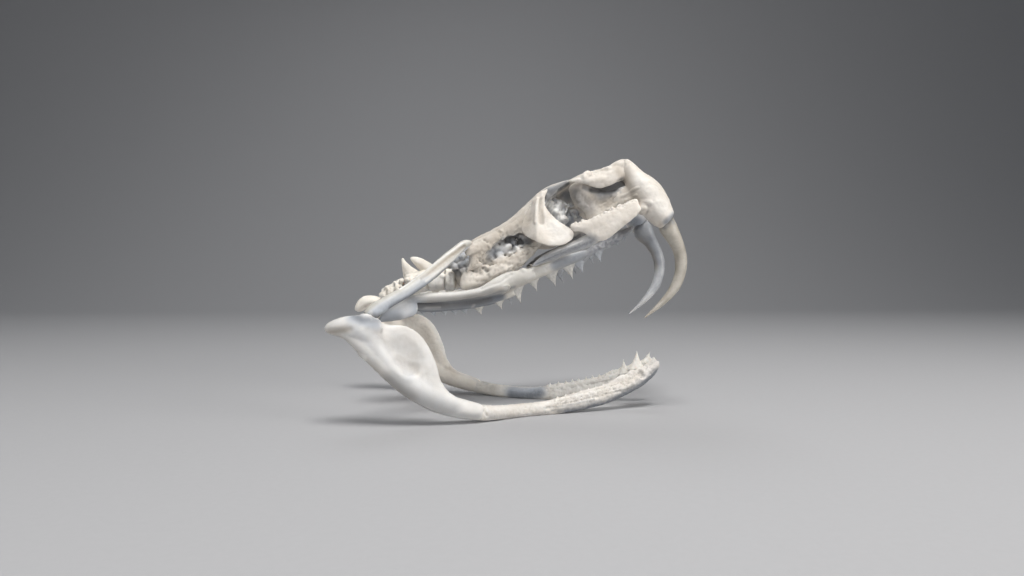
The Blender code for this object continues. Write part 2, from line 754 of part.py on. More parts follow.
# Along, out, rise and half sizes of the swellings on each side wall
CRANIUM_LUMPS = (
    (4.5, 6.6, 4.4, (2.6, 2.0, 2.8)),
    (10.0, 8.0, 2.6, (3.6, 2.0, 2.4)),
    (12.5, 7.4, 6.2, (2.2, 1.6, 2.0)),
    (18.0, 7.6, 0.6, (3.8, 1.9, 2.4)),
    (21.5, 6.4, 4.6, (2.0, 1.6, 1.7)),
    (27.0, 6.9, 0.6, (3.6, 1.7, 2.4)),
    (29.5, 5.2, 4.8, (2.6, 1.5, 1.8)),
    (36.0, 5.0, 3.6, (2.6, 1.4, 1.9)),
)

NASAL = (
    (22.6, 2.7, 83.0, 2.2, 0.7),
    (27.0, 2.8, 85.3, 2.7, 1.1),
    (33.0, 2.8, 86.0, 2.8, 1.1),
    (38.0, 2.4, 86.8, 2.3, 1.2),
    (42.0, 1.6, 85.2, 1.6, 1.3),
    (44.8, 0.9, 82.4, 1.3, 1.3),
)
PREMAXILLA = (
    (44.0, 0.0, 84.0, 1.6, 1.4),
    (46.2, 0.0, 80.6, 2.0, 1.5),
    (46.6, 0.0, 77.6, 3.0, 1.4),
    (45.4, 0.0, 75.6, 3.4, 1.0),
)
PREMAXILLA_WINGS = (
    (45.4, -5.4, 76.6, 1.0, 0.6),
    (46.4, 0.0, 77.0, 1.5, 1.2),
    (45.4, 5.4, 76.6, 1.0, 0.6),
)
SEPTUM = (
    (24.0, 79.0), (26.0, 84.6), (34.0, 85.6), (42.0, 84.6), (45.6, 79.0), (44.0, 76.4), (36.0, 76.6),
    (28.0, 76.4),
)


def snout():
    bm = bmesh.new()
    for side in (1, -1):
        limb(bm, [(x, side * out, z, t, h) for x, out, z, t, h in NASAL])
    limb(bm, PREMAXILLA)
    limb(bm, PREMAXILLA_WINGS, across=(1, 0, 0))
    plate(bm, SEPTUM, lambda x, z: 0.0, thick=1.8)
    return to_object("snout", bm)


# Neck

def vertebra(name, front, rear, width, spine, wings):
    """One neck vertebra. front and rear are (forward, up) of its body's ends."""
    bm = bmesh.new()
    ends = (np.array(front), np.array(rear))
    parts = (
        # rise, half thickness, half height, sharpness of the section
        (0.0, width * 0.62, 2.4, 1.0),
        (1.4, width, 3.1, 0.6),
        (4.2, width * 0.62, 1.6, 1.0),
    )
    for rise, thick, high, edge in parts:
        rows = []
        for t, swell in ((0.0, 0.78), (0.2, 1.0), (0.5, 0.9), (0.8, 1.0), (1.0, 0.78)):
            x, z = ends[0] * (1 - t) + ends[1] * t
            rows.append((x, 0.0, z + rise, thick * swell, high * swell))
        limb(bm, rows, edge=edge)
    for along, out, rise, radii in wings:
        x, z = ends[0] * (1 - along) + ends[1] * along
        for side in (1, -1):
            knob(bm, (x, side * out, z + rise), radii)
    x, z = (ends[0] + ends[1]) / 2
    limb(bm, ((x, 0, z - 1.0, 1.0, 1.6), (x - 0.8, 0, z - 3.2, 0.8, 1.1), (x - 1.6, 0, z - 4.6, 0.4, 0.4)))
    if spine:
        plate(bm, spine, lambda x, z: 0.0, thick=2.2)
    return to_object(name, bm)


AXIS_SPINE = (
    (-26.4, 49.4), (-29.6, 52.4), (-34.8, 55.1), (-37.4, 55.2), (-37.9, 54.3), (-36.0, 51.8),
    (-34.2, 50.0), (-31.2, 48.6),
)
THIRD_SPINE = (
    (-33.0, 48.4), (-36.4, 50.8), (-39.0, 53.0), (-40.8, 54.9), (-41.2, 53.4), (-40.9, 50.4),
    (-40.2, 47.4), (-37.0, 46.6),
)
ATLAS_WINGS = (
    (0.30, 4.0, 3.6, (1.2, 1.5, 1.2)),
)
ARCH_WINGS = (
    (0.12, 4.6, 3.0, (1.4, 1.5, 1.1)),
    (0.88, 4.6, 3.4, (1.4, 1.5, 1.1)),
)
FOURTH_WINGS = (
    (0.10, 2.8, 4.6, (1.1, 1.4, 1.0)),
    (0.42, 1.6, 5.0, (1.1, 1.3, 1.1)),
    (0.78, 2.4, 4.8, (1.2, 1.4, 1.1)),
)


COLOURS = {
    "quadrate_right": COOL_BONE,
    "quadrate_left": COOL_BONE,
    "compound_bone_right": PALE_BONE,
    "compound_bone_left": IVORY,
    "pterygoid_right": PALE_BONE,
    "palatine_right": SHADED_BONE,
    "palatine_left": SHADED_BONE,
    "fang_right": FANG_RIGHT,
    "fang_left": FANG_LEFT,
}

def build():
    for old in list(bpy.data.objects):
        bpy.data.objects.remove(old)

    solids = {}

    def keep(solid):
        solids[solid.name] = solid
        return solid

    compounds = [keep(compound_bone("compound_bone_right", 0.0)),
                 keep(compound_bone("compound_bone_left", HEEL_LIFT_LEFT))]
    dentaries = [keep(dentary("dentary_right", SMALL_TEETH_RIGHT, FRONT_TEETH_RIGHT)),
                 keep(dentary("dentary_left", SMALL_TEETH_LEFT, FRONT_TEETH_LEFT))]
    pterygoids = [keep(pterygoid("pterygoid_right", PTERYGOID_TEETH_RIGHT)),
                  keep(pterygoid("pterygoid_left", PTERYGOID_TEETH_LEFT))]
    for make in (quadrate, supratemporal, palatine, ectopterygoid, maxilla, fang, prefrontal,
                 postorbital):
        keep(make())
    keep(cranium())
    keep(snout())
    keep(vertebra("atlas", (-21.6, 44.9), (-24.6, 45.0), 5.3, None, ATLAS_WINGS))
    keep(vertebra("axis_vertebra", (-25.2, 45.0), (-31.0, 45.0), 5.2, AXIS_SPINE, ARCH_WINGS))
    keep(vertebra("neck_vertebra_3", (-31.6, 44.8), (-39.4, 43.0), 4.8, THIRD_SPINE, ARCH_WINGS))
    keep(vertebra("neck_vertebra_4", (-40.0, 42.0), (-48.0, 37.6), 4.2, None, FOURTH_WINGS))

    for solid in solids.values():
        weld(solid)
    for pair in (compounds, dentaries, pterygoids):
        turn_left(pair[1])

    right = {name[:-6]: solid for name, solid in solids.items() if name.endswith("_right")}
    make_room(right["maxilla"], right["fang"])
    make_room(right["prefrontal"], right["maxilla"], right["ectopterygoid"])
    make_room(right["ectopterygoid"], right["maxilla"], right["postorbital"])
    make_room(right["supratemporal"], right["quadrate"])

    for name in ("quadrate", "supratemporal", "palatine", "ectopterygoid", "maxilla", "fang",
                 "prefrontal", "postorbital"):
        keep(mirrored(right[name], name + "_left"))
    for side in ("_right", "_left"):
        make_room(solids["pterygoid" + side], solids["quadrate" + side], solids["ectopterygoid" + side])
        make_room(solids["palatine" + side], solids["pterygoid" + side])
        make_room(solids["compound_bone" + side], solids["quadrate" + side], solids["pterygoid" + side])
        make_room(solids["dentary" + side], solids["compound_bone" + side])
    make_room(solids["cranium"], *[solids[n + s] for n in ("supratemporal", "postorbital", "prefrontal",
                                                            "quadrate") for s in ("_right", "_left")])
    make_room(solids["snout"], solids["cranium"], *[solids[n + s] for n in ("prefrontal", "maxilla",
                                                                           "palatine")
                                                    for s in ("_right", "_left")])
    make_room(solids["atlas"], solids["cranium"])
    make_room(solids["axis_vertebra"], solids["atlas"])
    make_room(solids["neck_vertebra_3"], solids["axis_vertebra"])
    make_room(solids["neck_vertebra_4"], solids["neck_vertebra_3"])

    for name, solid in solids.items():
        kind = name.replace("_right", "").replace("_left", "")
        thin_out(solid, FACES.get(kind, FACES["vertebra"]))
        if kind in ("compound_bone", "dentary"):
            cut_sole(solid)
        solid.data.transform(Matrix.Translation((-MIDDLE * MM, 0, -SOLE_HEIGHT * MM)))
        paint(solid, COLOURS.get(name, IVORY))


build()
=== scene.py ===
"""Skull of a gaboon viper, dressed for its portrait.

Each bone is built again from the rows of its CAD solid on a finer skin, then worked with
marks read from the photograph. A mark is a line of pixels of the photograph, which are set
on the surface that they show. Bone rows are in millimetres as (forward, out, up, half
thickness, half height), with out measured from the midplane, and move by SHIFT into the
frame of the CAD at the end.
"""

import math

import bmesh
import bpy
import numpy as np
from mathutils import Matrix, Vector, noise
from mathutils.bvhtree import BVHTree


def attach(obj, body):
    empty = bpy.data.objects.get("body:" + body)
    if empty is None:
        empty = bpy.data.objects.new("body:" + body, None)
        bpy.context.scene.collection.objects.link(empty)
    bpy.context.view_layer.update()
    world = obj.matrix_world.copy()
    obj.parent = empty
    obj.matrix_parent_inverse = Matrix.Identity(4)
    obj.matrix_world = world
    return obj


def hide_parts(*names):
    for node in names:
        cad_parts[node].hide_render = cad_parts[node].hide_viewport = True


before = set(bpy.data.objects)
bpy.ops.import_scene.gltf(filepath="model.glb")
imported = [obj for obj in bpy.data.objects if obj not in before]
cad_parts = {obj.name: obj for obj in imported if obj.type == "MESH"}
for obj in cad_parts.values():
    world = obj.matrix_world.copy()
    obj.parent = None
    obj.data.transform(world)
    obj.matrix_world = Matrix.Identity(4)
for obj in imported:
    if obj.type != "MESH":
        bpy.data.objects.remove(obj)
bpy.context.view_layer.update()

MM = 0.001
SHIFT = (0.69, 0.0, 1.0)

# Camera, solved from the outlines of the photograph
PHOTO = (1024, 576)
FOCAL_PIXELS = 695.0
CAMERA_TURN = -3.5
CAMERA_RISE = 1.0
CAMERA_AWAY = 261.0
CAMERA_TARGET = (0.69, 0.0, 44.55)
SENSOR = 36.0

# Skin of the bones: voxels, then the sheets' thickness, their grain and their rim
FINEST = 0.24
FINE = 0.28
COARSE = 0.34
PLATE = 1.6
THIN_PLATE = 1.3
PLATE_SPACING = 0.8
RIM_STEPS = 4
RIM_SHARE = 0.06
EVEN_SHARE = 0.5

SKULL_TILT = 31.0
SKULL_REAR = (-19.0, 43.0)
HEEL_LIFT_LEFT = 6.3
SEED = 7


# Curves and shells

def smooth_path(points, steps, closed=False):
    """A Catmull-Rom curve through rows of numbers, with steps points to each stretch."""
    rows = np.array(points, dtype=float)
    count = len(rows)
    stretches = count if closed else count - 1
    out = []
    for i in range(stretches):
        if closed:
            a, b, c, d = (rows[(i + k) % count] for k in (-1, 0, 1, 2))
        else:
            a, b, c, d = (rows[min(max(i + k, 0), count - 1)] for k in (-1, 0, 1, 2))
        for step in range(steps):
            t = step / steps
            out.append(0.5 * (2 * b + (c - a) * t + (2 * a - 5 * b + 4 * c - d) * t * t
                              + (3 * b - a - 3 * c + d) * t ** 3))
    if not closed:
        out.append(rows[-1])
    return np.array(out)


def place(forward, out, up):
    """A place on the animal's right side, in metres."""
    return Vector((forward * MM, -out * MM, up * MM))


def skin_over(bm, rings):
    """Joins rings of equal count and closes both ends with a point."""
    loops = [[bm.verts.new(p) for p in ring] for ring in rings]
    sides = len(loops[0])
    for low, high in zip(loops, loops[1:]):
        for i in range(sides):
            j = (i + 1) % sides
            bm.faces.new((low[i], low[j], high[j], high[i]))
    for loop, flip in ((loops[0], True), (loops[-1], False)):
        middle = bm.verts.new(sum((v.co for v in loop), Vector()) / sides)
        for i in range(sides):
            j = (i + 1) % sides
            corner = (loop[j], loop[i], middle) if flip else (loop[i], loop[j], middle)
            bm.faces.new(corner)


def limb(bm, stations, steps=6, sides=20, edge=1.0, turn=0.0, across=(0, 1, 0)):
    """A rod or blade along a smooth path. edge over 1 gives its section sharp sides."""
    rows = smooth_path(stations, steps)
    centres = [place(*row[:3]) for row in rows]
    rings = []
    for i, row in enumerate(rows):
        ahead = centres[min(i + 1, len(rows) - 1)] - centres[max(i - 1, 0)]
        ahead.normalize()
        side = Vector(across)
        side = (side - side.dot(ahead) * ahead).normalized()
        side = Matrix.Rotation(math.radians(turn), 3, ahead) @ side
        rise = ahead.cross(side)
        ring = []
        for k in range(sides):
            angle = 2 * math.pi * k / sides
            c = math.copysign(abs(math.cos(angle)) ** edge, math.cos(angle))
            s = math.copysign(abs(math.sin(angle)) ** edge, math.sin(angle))
            ring.append(centres[i] + (side * (row[3] * c) + rise * (row[4] * s)) * MM)
        rings.append(ring)
    skin_over(bm, rings)


def distance_to_rim(points, rim):
    """The least distance from each point to a closed outline, both in the plane."""
    best = np.full(len(points), np.inf)
    for a, b in zip(rim, np.roll(rim, -1, axis=0)):
        run = b - a
        along = np.clip(((points - a) @ run) / max(run @ run, 1e-12), 0, 1)
        near = a + along[:, None] * run
        best = np.minimum(best, np.linalg.norm(points - near, axis=1))
    return best


def plate(bm, outline, out_at, thick=PLATE):
    """A thin sheet of bone with a rounded rim. out_at(x, z) is its distance outward."""
    rim = smooth_path(outline, RIM_STEPS, closed=True)
    flat = bmesh.new()
    verts = [flat.verts.new((p[0], 0, p[1])) for p in rim]
    edges = [flat.edges.new((a, b)) for a, b in zip(verts, verts[1:] + verts[:1])]
    bmesh.ops.triangle_fill(flat, edges=edges, use_beauty=True)
    for _ in range(5):
        long_edges = [e for e in flat.edges if e.calc_length() > PLATE_SPACING]
        if not long_edges:
            break
        bmesh.ops.subdivide_edges(flat, edges=long_edges, cuts=1)
        bmesh.ops.triangulate(flat, faces=flat.faces[:], quad_method="BEAUTY")
    flat.verts.index_update()
    spots = np.array([(v.co.x, v.co.z) for v in flat.verts])
    depth = distance_to_rim(spots, rim)
    half = thick / 2 * np.sqrt(np.clip(depth / thick, RIM_SHARE, 1))
    layers = []
    for sign in (1, -1):
        layers.append([bm.verts.new(place(x, out_at(x, z) + sign * h, z))
                       for (x, z), h in zip(spots, half)])
    for face in flat.faces:
        ids = [v.index for v in face.verts]
        bm.faces.new([layers[0][i] for i in ids])
        bm.faces.new([layers[1][i] for i in reversed(ids)])
    for edge in flat.edges:
        if edge.is_boundary:
            loop = edge.link_loops[0]
            i = loop.vert.index
            j = loop.link_loop_next.vert.index
            bm.faces.new((layers[0][j], layers[0][i], layers[1][i], layers[1][j]))
    flat.free()


def knob(bm, centre, radii):
    """A rounded lump with its three half sizes."""
    turn = Matrix.Translation(place(*centre)) @ Matrix.Diagonal((*[r * MM for r in radii], 1))
    bmesh.ops.create_icosphere(bm, subdivisions=3, radius=1.0, matrix=turn)


def row_value(rows, column, forward):
    """One number of a bone's rows, read off at a place along it."""
    ordered = sorted(rows)
    return float(np.interp(forward, [r[0] for r in ordered], [r[column] for r in ordered]))


# Camera and its rays

def camera_frame():
    """The camera's place in millimetres, and its ahead, right and up directions."""
    turn = math.radians(CAMERA_TURN)
    rise = math.radians(CAMERA_RISE)
    ahead = Vector((-math.sin(turn) * math.cos(rise), math.cos(turn) * math.cos(rise), -math.sin(rise)))
    right = ahead.cross(Vector((0, 0, 1))).normalized()
    return Vector(CAMERA_TARGET) - CAMERA_AWAY * ahead, ahead, right, right.cross(ahead)


EYE, AHEAD, RIGHT, UP = camera_frame()
# Distances at which a ray that misses a bone looks for its nearest place
SEARCH = np.linspace(CAMERA_AWAY - 45, CAMERA_AWAY + 45, 61)
# How a mark fades where the bone turns away from it
FACING_GAIN = 1.6
FACING_FLOOR = 0.3


def ray_through(pixel):
    """Direction from the camera through a pixel of the photograph."""
    across = pixel[0] - PHOTO[0] / 2
    down = pixel[1] - PHOTO[1] / 2
    return (AHEAD * FOCAL_PIXELS + RIGHT * across - UP * down).normalized()


def traced(pixels, out):
    """Pixels of the photograph as (forward, up) on the upright plane at a distance out."""
    places = []
    for pixel in pixels:
        ray = ray_through(pixel)
        spot = EYE + ray * ((-out - EYE.y) / ray.y)
        places.append((spot.x - SHIFT[0], spot.z - SHIFT[2]))
    return places


# Relief, stains, and painted light and shade

# Colour layers that the marks lay on each bone. The cool layer paints bluish highlights and bluish shade,
# the brown layer stain and shade, the grey layer shade, the pale layer highlights, glints and paler bone,
# the porous layer pores, the hollow layer shade in recesses and slits, and the edge layer highlights and
# wear on what stands proud.
STAINS_AND_PAINTED_LIGHT = ("cool", "brown", "grey", "pale", "porous", "hollow", "edge")


def set_column(mesh, name, values):
    """Stores a number or a vector for each point of a mesh."""
    values = np.array(values, dtype=np.float32)
    kind, field = ("FLOAT_VECTOR", "vector") if values.ndim == 2 else ("FLOAT", "value")
    mesh.attributes.new(name, kind, "POINT").data.foreach_set(field, values.ravel())


class Skin:
    """The surface of one bone, in millimetres, while it is worked."""

    def __init__(self, solid, like=None):
        self.solid = solid
        self.like = like
        count = len(solid.data.vertices)
        flat = np.empty(count * 3)
        solid.data.vertices.foreach_get("co", flat)
        self.co = flat.reshape(-1, 3) / MM
        self.stain_and_light = {name: np.zeros(count) for name in STAINS_AND_PAINTED_LIGHT}
        pairs = np.empty(len(solid.data.edges) * 2, dtype=np.int64)
        solid.data.edges.foreach_get("vertices", pairs)
        self.pairs = pairs.reshape(-1, 2)
        self.turn_out()
        polygons = [tuple(face.vertices) for face in solid.data.polygons]
        self.tree = BVHTree.FromPolygons([Vector(p) for p in self.co], polygons)

    def turn_out(self):
        """Writes the places back and reads the normals again."""
        self.solid.data.vertices.foreach_set("co", (self.co * MM).ravel())
        self.solid.data.update()
        flat = np.empty(len(self.co) * 3, dtype=np.float32)
        self.solid.data.vertex_normals.foreach_get("vector", flat)
        self.no = flat.reshape(-1, 3).astype(float)

    def find(self, pixel):
        """Where a pixel's ray meets this bone or passes nearest to it, and how it faces there."""
        ray = ray_through(pixel)
        spot, facing, _, _ = self.tree.ray_cast(EYE, ray)
        if spot is None:
            tries = [self.tree.find_nearest(EYE + ray * away) for away in SEARCH]
            spot, facing, _, _ = min(tries, key=lambda hit: hit[3])
        return np.array(spot), np.array(facing)

    def found(self, marks):
        """The marks on this bone, or those of its right-hand twin turned to the left."""
        if self.like is None:
            return [self.find(mark) for mark in marks]
        over = np.array((1, -1, 1))
        return [(spot * over, facing * over) for spot, facing in self.like.found(marks)]

    def nearness(self, marks, radius):
        """1 on the line of marks, falling to 0 at the radius and where the bone faces away."""
        spots = self.found(marks)
        best = np.full(len(self.co), np.inf)
        for (a, _), (b, _) in zip(spots, spots[1:] or spots):
            run = b - a
            along = np.clip(((self.co - a) @ run) / max(run @ run, 1e-9), 0, 1)
            best = np.minimum(best, np.linalg.norm(self.co - a - along[:, None] * run, axis=1))
        way = sum(facing for _, facing in spots)
        way = way / max(np.linalg.norm(way), 1e-9)
        turned = np.clip(self.no @ way * FACING_GAIN + FACING_FLOOR, 0, 1)
        return np.clip(1 - (best / radius) ** 2, 0, 1) ** 2 * turned

    def push(self, amount):
        """Moves the surface outward by an amount for each vertex."""
        self.co += self.no * amount[:, None]
        self.turn_out()

    def wave(self, grain, octaves=2):
        """Smooth noise between about -1 and 1 with lumps of the given size."""
        seat = Vector((SEED, 3 * SEED, 5 * SEED))
        return np.array([noise.fractal(Vector(p) / grain + seat, 0.8, 2.1, octaves) for p in self.co])

    def smooth(self, rounds):
        """The places after they move halfway to their neighbours' middle a number of times."""
        places = self.co.copy()
        count = len(places)
        links = np.bincount(self.pairs.ravel(), minlength=count).clip(1)
        for _ in range(rounds):
            middle = np.empty_like(places)
            for axis in range(3):
                total = np.bincount(self.pairs[:, 0], places[self.pairs[:, 1], axis], count)
                total += np.bincount(self.pairs[:, 1], places[self.pairs[:, 0], axis], count)
                middle[:, axis] = total / links
            places += EVEN_SHARE * (middle - places)
        return places

    def work(self, rows):
        """Works rows of (what, marks, radius, amount, and the grain of a rough patch)."""
        for what, marks, radius, amount, *grain in rows:
            near = self.nearness(marks, radius)
            if what == "press":
                self.push(-amount * near)
            elif what == "raise":
                self.push(amount * near)
            elif what == "rough":
                self.push(amount * near * self.wave(grain[0]))
            elif what == "ease":
                self.co += (amount * near)[:, None] * (self.smooth(grain[0]) - self.co)
                self.turn_out()
            else:
                # Other kinds are layers of colour: stains, and painted light and shade.
                self.stain_and_light[what] = np.maximum(self.stain_and_light[what], amount * near)

    def rest_on_floor(self):
        """Flattens what would reach below the resting surface."""
        self.co[:, 2] = np.maximum(self.co[:, 2], 0.0)
        self.turn_out()

    def find_hollows(self):
        """Marks what lies lower than its surroundings for painted shade, and what stands proud for a
        painted highlight and wear.
        """
        for rounds, scale, weight in ((6, 0.10, 0.5), (40, 0.55, 0.6)):
            proud = np.einsum("ij,ij->i", self.co - self.smooth(rounds), self.no) / scale
            self.stain_and_light["hollow"] = np.maximum(self.stain_and_light["hollow"], np.clip(-proud * weight, 0, 1))
            self.stain_and_light["edge"] = np.maximum(self.stain_and_light["edge"], np.clip(proud * weight, 0, 1))

    def keep(self):
        """Stores the stains and the painted light and shade as attributes of the mesh."""
        for name, values in self.stain_and_light.items():
            set_column(self.solid.data, name, values)


# Solids

def settle(solid):
    """Turns the object's modifiers into plain mesh."""
    graph = bpy.context.evaluated_depsgraph_get()
    mesh = bpy.data.meshes.new_from_object(solid.evaluated_get(graph))
    solid.modifiers.clear()
    old = solid.data
    solid.data = mesh
    bpy.data.meshes.remove(old)


def to_object(name, bm):
    mesh = bpy.data.meshes.new(name)
    bm.to_mesh(mesh)
    bm.free()
    solid = bpy.data.objects.new(name, mesh)
    bpy.context.scene.collection.objects.link(solid)
    return solid


def one_skin(name, bm, voxel, rounds):
    """Joins overlapping shells in one skin, evened in rounds, in the frame of the CAD."""
    bmesh.ops.recalc_face_normals(bm, faces=bm.faces[:])
    solid = to_object(name, bm)
    remesh = solid.modifiers.new("One skin", "REMESH")
    remesh.mode = "VOXEL"
    remesh.voxel_size = voxel * MM
    even = solid.modifiers.new("Even out", "SMOOTH")
    even.factor = EVEN_SHARE
    even.iterations = rounds
    settle(solid)
    solid.data.transform(Matrix.Translation(Vector(SHIFT) * MM))
    return solid


def turn_left(solid):
    """Mirrors a bone in the midplane, with its faces still pointing outwards."""
    solid.data.transform(Matrix.Scale(-1, 4, (0, 1, 0)))
    solid.data.flip_normals()


def mirrored(solid, name):
    """The same bone for the left side."""
    twin = bpy.data.objects.new(name, solid.data.copy())
    bpy.context.scene.collection.objects.link(twin)
    turn_left(twin)
    return twin


# Lower jaw

def jaw_out(forward):
    """How far from the midplane the lower jaw runs."""
    spots = (-62, -50, -38, -25, -16, -10, -4, 2, 9, 21, 33, 46, 55)
    outs = (33.5, 35, 34, 31.5, 29.4, 26.6, 22.6, 19.0, 16.3, 13, 9.8, 6.3, 4)
    return float(np.interp(forward, spots, outs))


def jaw_rows(rows, inward=0.0):
    """Adds the distance outward to rows of (forward, up, half thickness, half height)."""
    return [(x, jaw_out(x) - inward, z, t, h) for x, z, t, h in rows]


JAW_BAR = (
    (-60.5, 30.4, 1.3, 1.3),
    (-57.5, 30.3, 2.2, 1.9),
    (-55.0, 29.2, 2.7, 1.9),
    (-51.5, 27.3, 3.3, 3.0),
    (-48.0, 24.9, 3.6, 3.9),
    (-44.0, 21.0, 3.5, 4.1),
    (-38.0, 14.9, 3.3, 4.0),
    (-32.0, 10.0, 3.2, 3.7),
    (-25.0, 6.2, 3.0, 3.6),
    (-18.0, 3.9, 2.7, 3.3),
    (-13.8, 2.7, 2.5, 2.9),
    (-12.4, 2.4, 2.3, 2.7),
)
JAW_TONGUE = (
    (-17.0, 3.8, 1.4, 2.4),
    (-12.0, 2.3, 1.3, 2.0),
    (-7.0, 1.5, 1.1, 1.5),
    (-3.5, 1.2, 0.6, 0.8),
)
JAW_HEEL = (
    (-62.2, 30.3, 0.8, 0.9),
    (-61.0, 31.0, 2.0, 1.9),
    (-58.2, 31.6, 3.1, 2.8),
    (-54.5, 31.8, 4.0, 3.5),
    (-50.8, 31.2, 4.3, 4.3),
    (-47.5, 29.2, 3.7, 4.0),
    (-44.5, 27.4, 2.6, 3.6),
    (-41.5, 25.6, 1.2, 2.4),
)

JAW_CREST = (
    (-48.5, 29.5), (-46.6, 32.6), (-45.0, 33.3), (-42.4, 32.5), (-38.5, 32.2), (-35.2, 31.2),
    (-32.2, 29.0), (-30.0, 26.2), (-28.2, 22.6), (-26.5, 18.2), (-25.2, 13.6), (-22.6, 9.8),
    (-18.6, 6.6), (-24.0, 6.0), (-32.0, 10.5), (-38.0, 15.5), (-44.0, 21.5),
)


# Where the heel starts to be lifted and its tip to droop, going back, and over what run
HEEL_RISE = (-49.0, 8.0)
HEEL_DROOP = (-56.5, 5.0)


def share_behind(forward, start, run):
    """0 in front of the start, rising to 1 a run behind it."""
    return min(max((start - forward) / run, 0.0), 1.0)


def compound_bone(heel_lift):
    """The rear of one lower jaw, whose heel is lifted on the far side."""
    bm = bmesh.new()
    limb(bm, jaw_rows(JAW_BAR))
    limb(bm, jaw_rows(JAW_TONGUE, inward=0.9))
    heel = []
    for x, out, z, t, h in jaw_rows(JAW_HEEL):
        share = share_behind(x, *HEEL_RISE)
        droop = 0.5 * share_behind(x, *HEEL_DROOP)
        heel.append((x - 0.2 * heel_lift * share, out, z + heel_lift * (share - droop), t, h))
    limb(bm, heel)
    plate(bm, JAW_CREST, lambda x, z: jaw_out(x) - 0.2, thick=2.6)
    knob(bm, (-46.6, 34.6, 31.2), (1.9, 3.6, 1.5))
    knob(bm, (-48.4, 37.3, 33.0), (5.0, 1.5, 2.5))
    knob(bm, (-49.4, 36.4, 34.0), (2.8, 1.6, 2.3))
    knob(bm, (-46.4, 37.8, 31.8), (3.6, 1.1, 2.0))
    return bm


# A thin wall on the tooth-bearing ridge, in pixels of the photograph
TOOTH_WALL = (
    (560, 401), (580, 393), (600, 386), (612, 380), (620, 375), (626, 374), (631, 370), (636, 370),
    (640, 367), (645, 367.5), (648, 364), (652, 362), (655, 357.5), (658, 360), (658, 367), (652, 374),
    (640, 381), (620, 389), (590, 398), (565, 404),
)
DENTARY_BAR = (
    (-12.8, 2.3, 2.2, 2.7),
    (-8.0, 1.6, 2.2, 2.5),
    (-3.6, 1.3, 2.1, 2.4),
    (3.0, 1.1, 2.1, 2.4),
    (9.0, 1.1, 2.1, 2.5),
    (15.0, 1.5, 2.1, 2.7),
    (21.0, 2.4, 2.1, 3.1),
    (28.0, 3.4, 2.1, 3.1),
    (34.0, 4.5, 2.0, 2.9),
    (40.0, 6.4, 1.9, 2.6),
    (46.0, 8.9, 1.8, 2.5),
    (50.5, 11.8, 1.7, 2.3),
    (53.4, 14.4, 1.3, 1.6),
    (54.3, 16.3, 0.7, 0.8),
)
ALVEOLAR_RIDGE = (
    (10.0, 2.4, 1.1, 1.0),
    (16.0, 3.3, 1.2, 1.2),
    (24.0, 4.9, 1.3, 1.3),
    (33.0, 6.8, 1.3, 1.4),
    (40.0, 8.7, 1.3, 1.5),
    (46.0, 11.3, 1.3, 1.6),
    (51.5, 14.2, 1.0, 1.4),
)
ALVEOLAR_INWARD = 0.7
SMALL_TEETH_LEFT = (16.0, 19.2, 22.0, 24.6, 27.0, 29.8, 32.3, 34.9, 37.4, 39.6)
SMALL_TEETH_RIGHT = (15.5, 18.6, 21.5, 24.3, 27.2, 30.0, 32.9, 36.0, 38.8)
SMALL_HEIGHT_LEFT = 2.5
SMALL_HEIGHT_RIGHT = 1.9
# Foot and tip as (forward, up), then the half thickness at the foot
FRONT_TEETH_LEFT = (((44.4, 12.0), (43.7, 15.9), 1.9), ((49.0, 13.2), (48.8, 18.4), 1.9))
FRONT_TEETH_RIGHT = (((46.9, 15.4), (46.2, 20.4), 2.2), ((50.2, 16.6), (51.6, 19.9), 1.5))


def dentary():
    bm = bmesh.new()
    limb(bm, jaw_rows(DENTARY_BAR), edge=0.85)
    limb(bm, jaw_rows(ALVEOLAR_RIDGE, ALVEOLAR_INWARD))
    plate(bm, traced(TOOTH_WALL, 7.0), lambda x, z: jaw_out(x) - 0.5, thick=1.5)
    return bm


# Suspension and palate

QUADRATE = (
    (-15.4, 13.4, 59.8, 1.0, 0.8),
    (-17.6, 14.4, 59.3, 1.6, 1.5),
    (-21.4, 16.4, 56.0, 1.6, 2.0),
    (-25.6, 19.0, 52.0, 1.5, 2.3),
    (-30.2, 22.2, 47.9, 1.5, 2.3),
    (-36.4, 26.2, 43.3, 1.6, 2.2),
    (-42.3, 30.3, 39.8, 1.9, 2.2),
    (-45.6, 32.2, 37.6, 2.2, 2.5),
    (-47.4, 33.5, 36.1, 2.2, 2.5),
    (-48.9, 34.2, 34.9, 1.7, 1.9),
)


def quadrate():
    bm = bmesh.new()
    limb(bm, QUADRATE, edge=1.25, turn=12)
    return bm


SUPRATEMPORAL = (
    (-4.5, 8.6, 62.6, 0.5, 0.7),
    (-8.5, 9.4, 60.9, 0.8, 1.5),
    (-12.5, 10.5, 58.6, 0.9, 1.9),
    (-15.6, 11.4, 56.9, 0.9, 1.5),
    (-17.4, 11.9, 55.9, 0.5, 0.8),
)
# Its lower flap on the side of the braincase, in pixels of the photograph
SUPRATEMPORAL_FLAP = (
    (471, 243), (480, 238), (490, 233.5), (499, 229), (507, 225), (514, 222), (517, 226), (513, 231),
    (508, 234), (502, 236), (499, 241), (494, 244), (491, 249), (486, 252), (482, 257), (479, 261),
    (483, 265), (475, 269), (465, 272), (468, 264), (469, 256), (469, 249),
)


def supratemporal_out(x, z):
    """Close to the side of the braincase, sinking into the roof in front."""
    return 10.1 - 0.10 * (x + 10.0) - 0.06 * max(x + 6.0, 0.0) ** 2 - 0.10 * max(z - 57.0, 0.0)


def supratemporal():
    bm = bmesh.new()
    limb(bm, SUPRATEMPORAL)
    plate(bm, traced(SUPRATEMPORAL_FLAP, 9.5), supratemporal_out, thick=1.5)
    return bm


